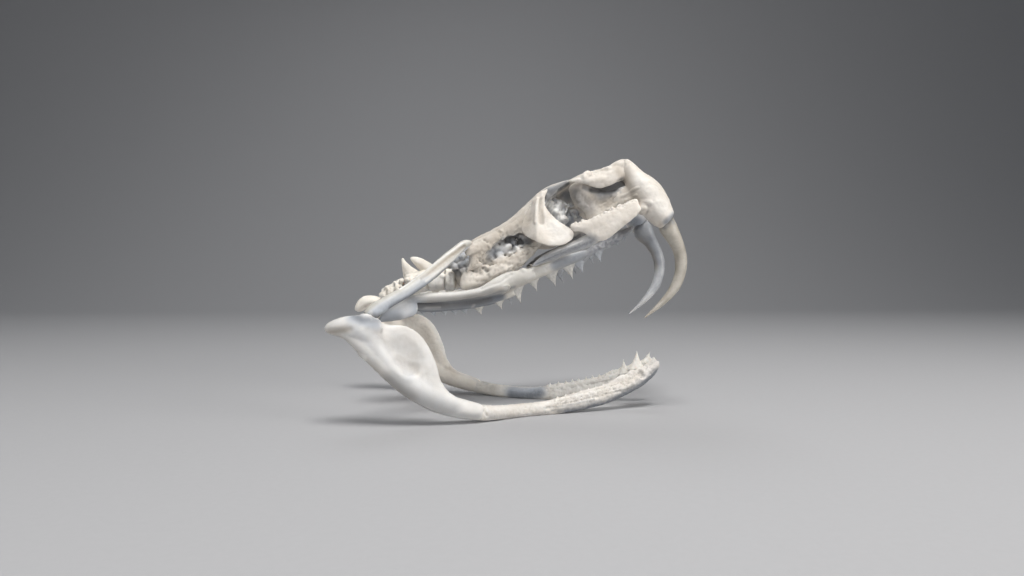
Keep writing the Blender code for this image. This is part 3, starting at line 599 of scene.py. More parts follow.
PTERYGOID_ROD = (
    (-38.0, 24.6, 40.5, 0.8, 1.0),
    (-33.5, 22.7, 40.4, 1.2, 1.5),
    (-27.0, 19.8, 40.7, 1.4, 1.7),
    (-18.5, 16.6, 41.3, 1.4, 1.6),
    (-12.5, 14.6, 42.3, 1.5, 1.7),
    (-8.6, 13.6, 43.9, 1.6, 2.1),
    (-5.4, 12.8, 45.4, 1.7, 2.5),
    (-1.6, 12.1, 46.8, 1.8, 2.8),
    (3.0, 11.3, 47.7, 1.8, 2.6),
    (7.0, 10.8, 49.0, 1.6, 2.2),
)
PTERYGOID_FRONT = (
    (-6.0, 10.8, 41.8, 1.0, 1.4),
    (-2.0, 10.8, 44.0, 1.4, 2.0),
    (2.5, 10.7, 46.6, 1.6, 2.4),
    (9.5, 10.3, 50.0, 1.6, 2.4),
    (17.0, 9.9, 52.8, 1.4, 2.2),
    (24.0, 9.4, 55.4, 1.1, 1.8),
    (27.2, 9.1, 56.9, 0.7, 1.0),
)
PTERYGOID_REAR_RIDGE = (
    (0.0, 10.6, 42.4, 1.1, 1.6),
    (-7.0, 10.8, 39.6, 1.1, 1.5),
    (-14.0, 11.8, 37.9, 1.0, 1.3),
    (-22.0, 14.0, 37.0, 0.9, 1.2),
    (-30.0, 18.0, 36.6, 0.9, 1.1),
    (-35.8, 22.0, 37.2, 0.7, 0.8),
)
PTERYGOID_FLANGE = (
    (-46.0, 33.2), (-43.0, 37.2), (-39.3, 40.0), (-35.8, 40.6), (-33.6, 38.6), (-34.0, 35.2),
    (-38.5, 33.4), (-42.5, 33.0),
)
PTERYGOID_WEB = (
    (-37.0, 40.2), (-26.0, 40.8), (-16.0, 41.4), (-8.0, 43.2), (-2.0, 45.0), (-2.0, 42.6),
    (-8.0, 39.6), (-16.0, 37.8), (-26.0, 36.8), (-35.0, 37.2),
)
# Tip of each tooth as (forward, up), and its size
PTERYGOID_TEETH_RIGHT = (
    (21.7, 46.6, 0.9), (15.4, 44.0, 1.0), (8.5, 42.3, 1.1), (2.7, 37.9, 1.1), (-4.1, 35.8, 1.1),
    (-11.5, 33.9, 1.0), (-17.0, 34.0, 0.7), (-20.6, 33.9, 0.65), (-24.2, 33.8, 0.65),
    (-27.8, 33.7, 0.6), (-31.4, 34.2, 0.55),
)
PTERYGOID_TEETH_LEFT = (
    (20.7, 44.9, 1.0), (10.3, 43.0, 1.0), (0.8, 36.2, 0.9), (-3.1, 36.2, 0.9), (-11.1, 34.8, 0.9),
    (-17.4, 34.6, 0.65), (-21.4, 34.4, 0.6), (-25.4, 34.4, 0.6), (-29.4, 34.6, 0.55),
)
LARGE_TOOTH = 0.8
# Forward of this the teeth stand on the front of the bone, and behind it on the rear ridge
RIDGE_SPLIT = -1.0


def pterygoid():
    bm = bmesh.new()
    limb(bm, PTERYGOID_ROD)
    limb(bm, PTERYGOID_FRONT)
    limb(bm, PTERYGOID_REAR_RIDGE)
    plate(bm, PTERYGOID_WEB, lambda x, z: row_value(PTERYGOID_REAR_RIDGE, 1, x)
          + 0.8 * max(z - 39.5, 0.0), thick=THIN_PLATE)
    plate(bm, PTERYGOID_FLANGE, lambda x, z: float(np.interp(x, (-46, -40, -34), (32.0, 27.4, 23.2))),
          thick=PLATE)
    return bm


PALATINE = (
    (22.6, 8.4, 52.6, 0.7, 0.8),
    (25.4, 8.6, 54.4, 1.0, 1.4),
    (28.0, 9.0, 56.8, 1.1, 1.5),
    (31.0, 8.8, 58.7, 1.2, 1.6),
    (35.0, 8.4, 60.6, 1.3, 1.8),
    (39.0, 7.8, 62.8, 1.2, 1.7),
    (42.5, 7.2, 64.8, 0.9, 1.2),
    (44.6, 6.8, 66.2, 0.4, 0.6),
)
PALATINE_TEETH = (
    (25.6, 48.7, 0.9), (32.3, 52.7, 1.0), (36.0, 58.4, 0.6), (38.8, 58.7, 0.7), (41.6, 60.7, 0.7),
)
PALATINE_PROCESS = (
    (33.0, 8.6, 61.0, 1.0, 1.2),
    (34.0, 6.4, 64.2, 1.4, 0.9),
    (34.5, 4.4, 66.4, 1.5, 0.6),
)


def palatine():
    bm = bmesh.new()
    limb(bm, PALATINE)
    limb(bm, PALATINE_PROCESS, across=(1, 0, 0))
    return bm


ECTOPTERYGOID_SHAFT = (
    (6.6, 13.0, 51.6, 0.4, 0.5),
    (10.4, 13.4, 53.9, 0.9, 1.4),
    (14.0, 13.8, 55.5, 1.2, 1.8),
    (19.5, 14.8, 57.8, 1.2, 2.0),
    (25.0, 16.2, 60.0, 1.2, 2.3),
    (30.0, 17.6, 63.0, 1.0, 2.2),
)
# The upper rim is slightly notched between small points
ECTOPTERYGOID_PLATE = (
    (19.4, 65.8), (21.4, 67.2), (22.4, 66.9), (24.0, 68.2), (25.4, 67.9), (27.6, 68.8), (30.0, 69.8),
    (32.2, 71.0), (33.0, 71.0), (34.2, 72.3), (35.2, 72.1), (36.6, 73.4), (37.8, 73.2), (40.2, 74.6),
    (42.9, 75.4), (43.6, 73.2), (44.1, 70.9), (40.1, 67.0), (36.8, 64.5), (31.8, 60.6), (27.6, 60.9),
    (23.8, 63.4), (20.7, 63.8),
)


def ectopterygoid():
    bm = bmesh.new()
    limb(bm, ECTOPTERYGOID_SHAFT)
    plate(bm, ECTOPTERYGOID_PLATE, lambda x, z: float(np.interp(x, (19, 30, 44), (17.4, 18.6, 19.6)))
          - 0.015 * (z - 66) ** 2, thick=PLATE)
    return bm


# Face

MAXILLA = (
    (40.2, 11.6, 89.8, 1.4, 1.2),
    (41.3, 12.0, 87.2, 3.0, 2.5),
    (43.5, 12.8, 82.9, 4.1, 4.0),
    (47.2, 14.2, 78.0, 5.4, 5.6),
    (50.2, 15.8, 73.0, 5.2, 5.4),
    (51.9, 16.7, 70.1, 4.7, 4.7),
    (53.2, 17.1, 68.5, 4.1, 4.2),
    (54.2, 17.1, 67.6, 3.3, 3.5),
)
MAXILLA_SHEET = (
    (36.0, 72.6), (34.6, 76.0), (35.4, 78.6), (39.4, 79.8), (40.6, 82.4), (38.6, 85.6), (38.4, 88.6),
    (40.6, 90.0), (43.4, 86.6), (46.2, 82.0), (48.0, 76.0), (47.0, 71.6), (42.5, 71.2),
)


def maxilla():
    bm = bmesh.new()
    limb(bm, MAXILLA, sides=26)
    plate(bm, MAXILLA_SHEET, lambda x, z: 11.2 + 0.42 * (x - 35.0), thick=2.6)
    knob(bm, (45.4, 16.6, 72.0), (2.4, 3.4, 2.4))
    return bm


FANG = (
    (52.6, 16.4, 70.4, 2.0, 2.4),
    (53.8, 16.4, 67.6, 2.6, 3.0),
    (54.9, 16.4, 64.9, 2.8, 3.2),
    (57.0, 16.0, 61.5, 2.5, 2.7),
    (59.1, 15.1, 57.4, 2.1, 2.3),
    (60.1, 14.4, 53.2, 2.0, 2.2),
    (59.8, 13.9, 48.6, 1.8, 2.0),
    (58.2, 13.5, 44.2, 1.6, 1.8),
    (55.5, 13.1, 40.4, 1.25, 1.4),
    (51.9, 12.8, 36.8, 0.8, 0.9),
    (47.2, 12.5, 32.9, 0.25, 0.25),
)


def fang():
    bm = bmesh.new()
    limb(bm, FANG, steps=8, sides=24)
    return bm


PREFRONTAL_WING = (
    (20.6, 7.6, 82.2, 1.4, 0.8),
    (24.5, 8.6, 83.4, 2.2, 1.6),
    (29.0, 9.6, 84.6, 2.4, 1.7),
    (33.5, 10.6, 85.4, 2.6, 1.9),
    (37.0, 11.2, 87.0, 2.4, 2.2),
    (39.6, 11.8, 88.0, 2.2, 2.2),
    (42.2, 12.2, 87.6, 1.6, 1.4),
)
PREFRONTAL_WALL = (
    (20.4, 81.0), (20.5, 77.2), (22.1, 73.9), (24.8, 71.2), (26.4, 68.0), (30.5, 67.4), (35.0, 69.8),
    (39.0, 72.4), (40.6, 76.4),
)
# Its upper edge, from front to rear, in pixels; a gap stays open between this and the wing
WALL_TOP = ((628, 186), (622, 187), (614, 189.5), (607, 190.5), (599, 188.5), (592, 184.5), (584, 181))


def prefrontal_out(x, z):
    """The wall is hollowed towards the midplane, deepest behind its middle."""
    hollow = 2.4 * math.exp(-(((x - 31.0) / 6.0) ** 2 + ((z - 76.5) / 5.0) ** 2))
    turned_in = 2.6 * max((25.0 - x) / 5.0, 0.0) ** 2
    return 11.9 + 0.06 * (x - 20) - hollow - turned_in - 0.10 * max(z - 78.0, 0.0)


# Outer face of the wing, whose lower edge stands over the wall, in pixels of the photograph
WING_FACE = (
    (570, 181), (575, 178.5), (583, 174), (588, 171.5), (592, 173), (598, 172.5), (604, 170.5),
    (607, 167.5), (614, 166.5), (620, 164), (628, 163), (637, 168), (636, 175), (626, 179),
    (617, 182.5), (608, 186.5), (600, 188.8), (592, 187.5), (584, 184.5), (576, 183.5),
)


def wing_out(x, z):
    """Rolled in towards its upper edge, less so in front, where it sinks under the maxilla."""
    roll = 0.05 - 0.035 * min(max((x - 28.0) / 8.0, 0.0), 1.0)
    return 13.4 + 0.05 * (x - 20.0) - roll * max(z - 80.5, 0.0) ** 2 - 0.05 * max(x - 35.0, 0.0) ** 2


def prefrontal():
    bm = bmesh.new()
    limb(bm, PREFRONTAL_WING)
    plate(bm, list(PREFRONTAL_WALL) + traced(WALL_TOP, 11.5), prefrontal_out, thick=PLATE)
    plate(bm, traced(WING_FACE, 12.5), wing_out, thick=1.8)
    return bm


POSTORBITAL = (
    (12.4, 79.6), (11.4, 76.6), (11.4, 73.6), (12.8, 70.9), (15.4, 68.1), (18.6, 65.8), (20.7, 64.0),
    (21.0, 62.2), (19.4, 60.2), (16.4, 58.8), (12.8, 58.6), (9.2, 59.4), (5.6, 61.4), (3.3, 63.5),
    (3.0, 66.5), (4.5, 71.0), (6.5, 75.0), (9.0, 78.0),
)
POSTORBITAL_FOLD = (
    (10.4, 9.2, 78.4, 0.7, 0.8),
    (9.9, 10.5, 74.5, 0.7, 1.1),
    (9.6, 11.8, 70.0, 0.6, 1.2),
    (10.2, 12.8, 66.0, 0.3, 0.8),
)


def postorbital_out(x, z):
    """The lobe leans in towards the roof and curls in behind."""
    return 16.5 - 0.385 * (z - 59.0) + 0.05 * (x - 12.0) - 0.95 * max(7.8 - x, 0.0)


def postorbital():
    bm = bmesh.new()
    plate(bm, POSTORBITAL, postorbital_out, thick=1.9)
    limb(bm, POSTORBITAL_FOLD)
    return bm


# Braincase, on the skull's own axis

def skull_place(along, out, rise):
    """A place measured along the braincase from its rear and up from its base line."""
    tilt = math.radians(SKULL_TILT)
    forward = SKULL_REAR[0] + along * math.cos(tilt) - rise * math.sin(tilt)
    up = SKULL_REAR[1] + along * math.sin(tilt) + rise * math.cos(tilt)
    return place(forward, out, up)


# Along, roof height, roof half width, eave height, wall half width, base half width, base height
BRAINCASE = (
    (0.4, 8.0, 3.6, 6.4, 3.8, 4.0, 0.8),
    (3.0, 10.8, 6.2, 7.4, 6.6, 7.0, -2.0),
    (8.0, 13.0, 7.8, 6.8, 7.9, 8.8, -3.4),
    (14.0, 13.6, 8.0, 6.4, 7.4, 9.2, -3.8),
    (21.0, 13.2, 7.8, 8.0, 5.9, 8.6, -3.6),
    (28.0, 13.2, 7.6, 8.4, 5.0, 7.6, -2.6),
    (35.0, 14.4, 8.2, 8.8, 4.6, 6.2, -0.6),
    (42.0, 15.9, 9.4, 10.2, 3.9, 4.6, 0.4),
    (47.0, 16.4, 9.2, 11.8, 2.9, 3.4, 0.0),
    (52.0, 15.6, 8.0, 12.4, 2.2, 2.6, 1.2),
    (56.5, 14.3, 6.6, 12.2, 1.9, 2.2, 3.0),
    (58.6, 13.4, 4.6, 12.0, 1.2, 1.4, 6.0),
)
KEEL_DEPTH = 1.2
ROSTRUM = ((30.0, 0.0, 0.4), (42.0, 0.0, 4.6), (54.0, 0.0, 7.6), (62.0, 0.0, 8.6))
# Along, out, rise and half sizes of the swellings on each side wall
CRANIUM_LUMPS = (
    (4.5, 6.6, 4.4, (2.6, 2.0, 2.8)),
    (10.0, 8.0, 2.6, (3.6, 2.0, 2.4)),
    (12.5, 7.4, 6.2, (2.2, 1.6, 2.0)),
    (18.0, 7.6, 0.6, (3.8, 1.9, 2.4)),
    (21.5, 6.4, 4.6, (2.0, 1.6, 1.7)),
    (27.0, 6.9, 0.6, (3.6, 1.7, 2.4)),
    (29.5, 5.2, 4.8, (2.6, 1.5, 1.8)),
    (36.0, 5.0, 3.6, (2.6, 1.4, 1.9)),
)


def braincase_ring(row, steps):
    """The outline of the braincase at one row, with steps points to each stretch."""
    along, top, roof, eave, wall, base, low = row
    middle = (eave + low) / 2
    half = [(0, top), (roof * 0.55, top - 0.5), (roof, eave + 1.6), (roof * 0.93, eave + 0.4),
            (wall, eave - 1.0), (wall * 0.97, middle), (base, low + 2.6), (base * 0.6, low + 0.3),
            (0, low - KEEL_DEPTH * (base / 9.0))]
    outline = half + [(-o, r) for o, r in reversed(half[1:-1])]
    curve = smooth_path(outline, steps, closed=True)
    return [skull_place(along, o, r) for o, r in curve]


# Edge of the roof over the hollow, and the wall below it, in pixels of the photograph
ROOF_EDGE = (
    (488, 236), (505, 227), (520, 216), (530, 208), (536, 214), (532, 226), (526, 233), (519, 233),
    (514, 236), (508, 235.5), (503, 240), (498, 241), (494, 246), (490, 247), (486, 252), (482, 251),
)
LOWER_WALL = (
    (462, 274), (470, 271), (479, 274), (487, 272), (490, 267), (499, 263), (507, 259), (513, 254),
    (520, 251), (528, 247.5), (538, 247), (534, 254), (526, 262), (518, 268), (508, 273), (495, 279),
    (482, 285), (468, 289), (460, 288),
)
HOLLOW_LUMPS = (
    # pixel, out and half size
    ((496, 247), 5.6, 1.5), ((502, 243), 5.4, 1.3), ((507, 247), 6.2, 1.8), ((513, 242), 5.6, 1.4),
    ((517, 249), 6.0, 1.6), ((524, 244), 5.2, 1.3), ((500, 254), 6.4, 1.5), ((510, 254), 6.4, 1.6),
    ((492, 258), 6.6, 1.3), ((528, 240), 4.6, 1.2),
)
# Rough bone at the back of the orbit, in pixels, and the lumps round it
ORBIT_SHEET = (
    (545, 199), (552, 197), (560, 199), (566, 203), (569, 209), (566, 215), (569, 221), (562, 226),
    (553, 222), (546, 211),
)
ORBIT_LUMPS = (
    ((551, 203), 5.2, 1.3), ((556, 212), 5.6, 1.6), ((563, 219), 5.4, 1.5), ((571, 205), 4.4, 1.1),
    ((575, 213), 4.4, 1.6), ((578, 219), 4.4, 1.5),
)
# Lumps behind the braincase wall, which the cool marks paint bluish as shade
EAR_LUMPS = (
    ((452, 263), 6.2, 1.4), ((457, 259), 6.8, 1.5), ((463, 256), 7.4, 1.6), ((456, 267), 6.6, 1.4),
    ((462, 264), 7.2, 1.5), ((467, 262), 7.8, 1.3),
)


def cranium():
    bm = bmesh.new()
    rows = smooth_path(BRAINCASE, 6)
    skin_over(bm, [braincase_ring(row, 4) for row in rows])
    for side in (1, -1):
        plate(bm, traced(ROOF_EDGE, 8.5), lambda x, z: side * (8.4 - 0.06 * (x + 4.0)), thick=1.8)
        plate(bm, traced(LOWER_WALL, 8.5), lambda x, z: side * (9.4 - 0.07 * (x + 8.0)), thick=2.0)
        plate(bm, traced(ORBIT_SHEET, 5.0), lambda x, z: side * (5.0 - 0.08 * (z - 70.0)), thick=2.4)
        for pixel, out, size in HOLLOW_LUMPS + ORBIT_LUMPS + EAR_LUMPS:
            x, z = traced((pixel,), out)[0]
            knob(bm, (x, side * out, z), (size * 1.1, size, size * 0.9))
    condyle = skull_place(-0.6, 0.0, 3.0)
    knob(bm, (condyle.x / MM, 0.0, condyle.z / MM), (2.2, 2.4, 2.2))
    rod = []
    for along, out, rise in ROSTRUM:
        spot = skull_place(along, out, rise)
        rod.append((spot.x / MM, 0.0, spot.z / MM, 1.1, 1.0))
    limb(bm, rod)
    for along, out, rise, radii in CRANIUM_LUMPS:
        spot = skull_place(along, out, rise)
        for side in (1, -1):
            knob(bm, (spot.x / MM, side * out, spot.z / MM), radii)
    return bm


NASAL = (
    (22.6, 2.7, 83.0, 2.2, 0.7),
    (27.0, 2.8, 85.3, 2.7, 1.1),
    (33.0, 2.8, 86.0, 2.8, 1.1),
    (38.0, 2.4, 86.8, 2.3, 1.2),
    (42.0, 1.6, 85.2, 1.6, 1.3),
    (44.8, 0.9, 82.4, 1.3, 1.3),
)
PREMAXILLA = (
    (44.0, 0.0, 84.0, 1.6, 1.4),
    (46.2, 0.0, 80.6, 2.0, 1.5),
    (46.6, 0.0, 77.6, 3.0, 1.4),
    (45.4, 0.0, 75.6, 3.4, 1.0),
)
PREMAXILLA_WINGS = (
    (45.4, -5.4, 76.6, 1.0, 0.6),
    (46.4, 0.0, 77.0, 1.5, 1.2),
    (45.4, 5.4, 76.6, 1.0, 0.6),
)
SEPTUM = (
    (24.0, 79.0), (26.0, 84.6), (34.0, 85.6), (42.0, 84.6), (45.6, 79.0), (44.0, 76.4), (36.0, 76.6),
    (28.0, 76.4),
)


def snout():
    bm = bmesh.new()
    for side in (1, -1):
        limb(bm, [(x, side * out, z, t, h) for x, out, z, t, h in NASAL])
    limb(bm, PREMAXILLA)
    limb(bm, PREMAXILLA_WINGS, across=(1, 0, 0))
    plate(bm, SEPTUM, lambda x, z: 0.0, thick=1.8)
    return bm


# Neck

def vertebra(front, rear, width, spine, wings):
    """One neck vertebra. front and rear are (forward, up) of its body's ends."""
    bm = bmesh.new()
    ends = (np.array(front), np.array(rear))
    parts = (
        # rise, half thickness, half height, sharpness of the section
        (0.0, width * 0.62, 2.4, 1.0),
        (1.4, width, 3.1, 0.6),
        (4.2, width * 0.62, 1.6, 1.0),
    )
    for rise, thick, high, edge in parts:
        rows = []
        for t, swell in ((0.0, 0.9), (0.2, 1.0), (0.5, 0.95), (0.8, 1.0), (1.0, 0.9)):
            x, z = ends[0] * (1 - t) + ends[1] * t
            rows.append((x, 0.0, z + rise, thick * swell, high * swell))
        limb(bm, rows, edge=edge)
    for along, out, rise, radii in wings:
        x, z = ends[0] * (1 - along) + ends[1] * along
        for side in (1, -1):
            knob(bm, (x, side * out, z + rise), radii)
    x, z = (ends[0] + ends[1]) / 2
    limb(bm, ((x, 0, z - 1.0, 1.0, 1.6), (x - 0.8, 0, z - 3.2, 0.8, 1.1), (x - 1.6, 0, z - 4.6, 0.4, 0.4)))
    if spine:
        plate(bm, spine, lambda x, z: 0.0, thick=2.2)
    return bm


AXIS_SPINE = (
    (-26.4, 49.4), (-29.6, 52.4), (-34.8, 55.1), (-37.4, 55.2), (-37.9, 54.3), (-36.0, 51.8),
    (-34.2, 50.0), (-31.2, 48.6),
)
THIRD_SPINE = (
    (-33.0, 48.4), (-36.4, 50.8), (-39.0, 53.0), (-40.8, 54.9), (-41.2, 53.4), (-40.9, 50.4),
    (-40.2, 47.4), (-37.0, 46.6),
)
ATLAS_WINGS = (
    (0.30, 4.0, 3.6, (1.2, 1.5, 1.2)),
)
ARCH_WINGS = (
    (0.12, 4.6, 3.0, (1.4, 1.5, 1.1)),
    (0.88, 4.6, 3.4, (1.4, 1.5, 1.1)),
)
FOURTH_WINGS = (
    (0.10, 2.8, 4.6, (1.1, 1.4, 1.0)),
    (0.42, 1.6, 5.0, (1.1, 1.3, 1.1)),
    (0.78, 2.4, 4.8, (1.2, 1.4, 1.1)),
)
VERTEBRAE = {
    "atlas": ((-21.3, 45.0), (-24.8, 45.0), 5.7, None, ATLAS_WINGS),
    "axis_vertebra": ((-25.2, 45.0), (-31.0, 45.0), 5.8, AXIS_SPINE, ARCH_WINGS),
    "neck_vertebra_3": ((-31.6, 44.8), (-39.4, 43.0), 4.8, THIRD_SPINE, ARCH_WINGS),
    "neck_vertebra_4": ((-40.0, 42.0), (-48.0, 37.6), 4.2, None, FOURTH_WINGS),
}


# Trees of nodes, written as expressions

class Wire:
    """A number that flows through a tree; arithmetic on it adds Math nodes."""

    def __init__(self, plan, socket):
        self.plan = plan
        self.socket = socket

    def math(self, operation, first, second=0.0):
        return self.plan.node("ShaderNodeMath", {"operation": operation}, {0: first, 1: second})

    def __add__(self, other):
        return self.math("ADD", self, other)

    def __radd__(self, other):
        return self.math("ADD", other, self)

    def __sub__(self, other):
        return self.math("SUBTRACT", self, other)

    def __rsub__(self, other):
        return self.math("SUBTRACT", other, self)

    def __mul__(self, other):
        return self.math("MULTIPLY", self, other)

    def __rmul__(self, other):
        return self.math("MULTIPLY", other, self)

    def __pow__(self, other):
        return self.math("POWER", self, other)


class Plan:
    """A tree of nodes, and the one way in which nodes are added to it."""

    def __init__(self, tree):
        self.tree = tree

    def node(self, kind, settings=None, inputs=None, output=0):
        made = self.tree.nodes.new(kind)
        for name, value in (settings or {}).items():
            if name == "stops":
                self.set_stops(made, value)
            else:
                setattr(made, name, value)
        for key, value in (inputs or {}).items():
            if isinstance(value, Wire):
                self.tree.links.new(value.socket, made.inputs[key])
            else:
                made.inputs[key].default_value = value
        return Wire(self, made.outputs[output])

    def set_stops(self, ramp, stops):
        held = ramp.color_ramp.elements
        while len(held) < len(stops):
            held.new(0.5)
        for stop, (where, value) in zip(held, stops):
            stop.position = where
            stop.color = (value, value, value, 1.0)


class Finish(Plan):
    """One material, with its Principled shader ready to be fed."""

    def __init__(self, name):
        self.material = bpy.data.materials.new(name)
        self.material.use_nodes = True
        super().__init__(self.material.node_tree)
        self.shader = self.tree.nodes["Principled BSDF"]
        self.place = self.node("ShaderNodeTexCoord", output="Object")

    def feed(self, **values):
        for name, value in values.items():
            socket = self.shader.inputs[name.replace("_", " ")]
            if isinstance(value, Wire):
                self.tree.links.new(value.socket, socket)
            else:
                socket.default_value = value

    def mix(self, share, first, second):
        """Colours mixed by share; sockets 6 and 7 of the Mix node are its two colours."""
        settings = {"data_type": "RGBA", "clamp_factor": True}
        return self.node("ShaderNodeMix", settings, {0: share, 6: first, 7: second}, output=2)

    def speckle(self, grain, detail=3.0, stretch=None):
        """Noise from 0 to 1 with spots of the given size in millimetres."""
        where = self.place
        if stretch:
            where = self.node("ShaderNodeMapping", inputs={"Vector": where, "Scale": stretch})
        inputs = {"Vector": where, "Scale": 1.0 / (grain * MM), "Detail": detail, "Roughness": 0.55}
        return self.node("ShaderNodeTexNoise", inputs=inputs)

    def ramp(self, value, *stops):
        return self.node("ShaderNodeValToRGB", {"stops": stops}, {"Fac": value})

    def stain_and_light(self, name):
        return self.node("ShaderNodeAttribute", {"attribute_name": name}, output="Fac")

    def stained_and_lit(self, base, tints):
        """The base colour under a layer of colour for each of the bone's stains and layers of painted light
        and shade.
        """
        for name, tint in tints:
            base = self.mix(self.stain_and_light(name), base, tint)
        return base

    def relief(self, height, distance, strength):
        self.feed(Normal=self.node("ShaderNodeBump", inputs={
            "Height": height, "Distance": distance * MM, "Strength": strength}))


def colour(red, green, blue):
    return (red, green, blue, 1.0)


# Colours of the layers: the cool one paints bluish highlights and bluish shade, the brown one stain and
# shade, the grey one painted shade, the pale one painted highlights and paler bone, and the crevice one
# painted shade in hollows and pores.
COOL_HIGHLIGHT_AND_SHADE = colour(0.44, 0.475, 0.53)
BROWN_STAIN_AND_SHADE = colour(0.36, 0.30, 0.23)
PAINTED_SHADE_GREY = colour(0.155, 0.168, 0.19)
PALE_AND_HIGHLIGHT = colour(0.84, 0.82, 0.78)
HOLLOW_SHADE = colour(0.10, 0.095, 0.09)


def bone_finish(name, light, dark, rough=0.5, hollow_shade_share=0.75):
    """Dry bone: mottled, stained and painted with light and shade by its attributes, painted dark as shade
    in its hollows and pores, painted paler on its proud edges as highlight and wear.
    """
    finish = Finish(name)
    clouds = finish.speckle(7.0)
    mottle = finish.speckle(1.3, 5.0)
    pores = finish.node("ShaderNodeTexVoronoi", inputs={"Vector": finish.place, "Scale": 1 / (0.9 * MM)},
                        output="Distance")
    base = finish.mix(finish.ramp(clouds, (0.35, 0.0), (0.68, 1.0)), light, dark)
    base = finish.mix(finish.ramp(mottle, (0.48, 0.0), (0.75, 0.35)), base, dark)
    base = finish.stained_and_lit(base, (("brown", BROWN_STAIN_AND_SHADE), ("cool", COOL_HIGHLIGHT_AND_SHADE), ("grey", PAINTED_SHADE_GREY),
                                 ("pale", PALE_AND_HIGHLIGHT)))
    # Pores and hollows are painted dark as shade in them; proud edges are painted paler as highlight and
    # wear.
    pitted = finish.ramp(pores, (0.10, 1.0), (0.34, 0.0)) * finish.stain_and_light("porous")
    base = finish.mix(pitted * 0.7, base, HOLLOW_SHADE)
    base = finish.mix(finish.stain_and_light("edge") * 0.35, base, PALE_AND_HIGHLIGHT)
    base = finish.mix(finish.stain_and_light("hollow") * hollow_shade_share, base, HOLLOW_SHADE)
    grit = finish.speckle(0.35, 2.0)
    finish.feed(
        Base_Color=base,
        Roughness=finish.ramp(mottle, (0.3, rough - 0.08), (0.7, rough + 0.12)),
        Subsurface_Weight=0.12,
        Subsurface_Radius=(1.0, 0.8, 0.6),
        Subsurface_Scale=0.0009,
        Specular_IOR_Level=0.42,
    )
    finish.relief(mottle * 0.5 + grit * 0.3 - pitted * 1.2, 0.14, 0.7)
    return finish.material


def fang_finish(name, light, dark, crown_and_highlight):
    """Fang dentine, ringed with fine growth ripples and paler at its tip; the pale layer also paints a
    highlight on its lit edge, and the grey and hollow layers paint shade.
    """
    finish = Finish(name)
    ripples = finish.speckle(1.1, 2.0, stretch=(1.0, 1.0, 2.6))
    mottle = finish.speckle(4.0, 3.0)
    base = finish.mix(finish.ramp(mottle, (0.35, 0.0), (0.7, 1.0)), light, dark)
    base = finish.mix(finish.ramp(ripples, (0.45, 0.0), (0.75, 0.5)), base, dark)
    base = finish.stained_and_lit(base, (("grey", PAINTED_SHADE_GREY), ("brown", BROWN_STAIN_AND_SHADE), ("pale", crown_and_highlight)))
    # Painted shade in the fang's hollows.
    base = finish.mix(finish.stain_and_light("hollow") * 0.6, base, HOLLOW_SHADE)
    finish.feed(
        Base_Color=base,
        Roughness=finish.ramp(ripples, (0.3, 0.30), (0.7, 0.42)),
        Subsurface_Weight=0.15,
        Subsurface_Radius=(1.0, 0.8, 0.6),
        Subsurface_Scale=0.001,
        Specular_IOR_Level=0.5,
    )
    finish.relief(ripples, 0.10, 0.6)
    return finish.material


def tooth_finish(name, light, dark):
    """Small teeth: glossy, mottled between a light and a dark tone."""
    finish = Finish(name)
    mottle = finish.speckle(0.9, 3.0)
    base = finish.mix(finish.ramp(mottle, (0.35, 0.0), (0.7, 1.0)), light, dark)
    finish.feed(
        Base_Color=base,
        Roughness=finish.ramp(mottle, (0.3, 0.26), (0.7, 0.4)),
        Subsurface_Weight=0.2,
        Subsurface_Radius=(1.0, 0.85, 0.7),
        Subsurface_Scale=0.0008,
        Specular_IOR_Level=0.5,
    )
    finish.relief(mottle, 0.05, 0.5)
    return finish.material


# Rows of teeth

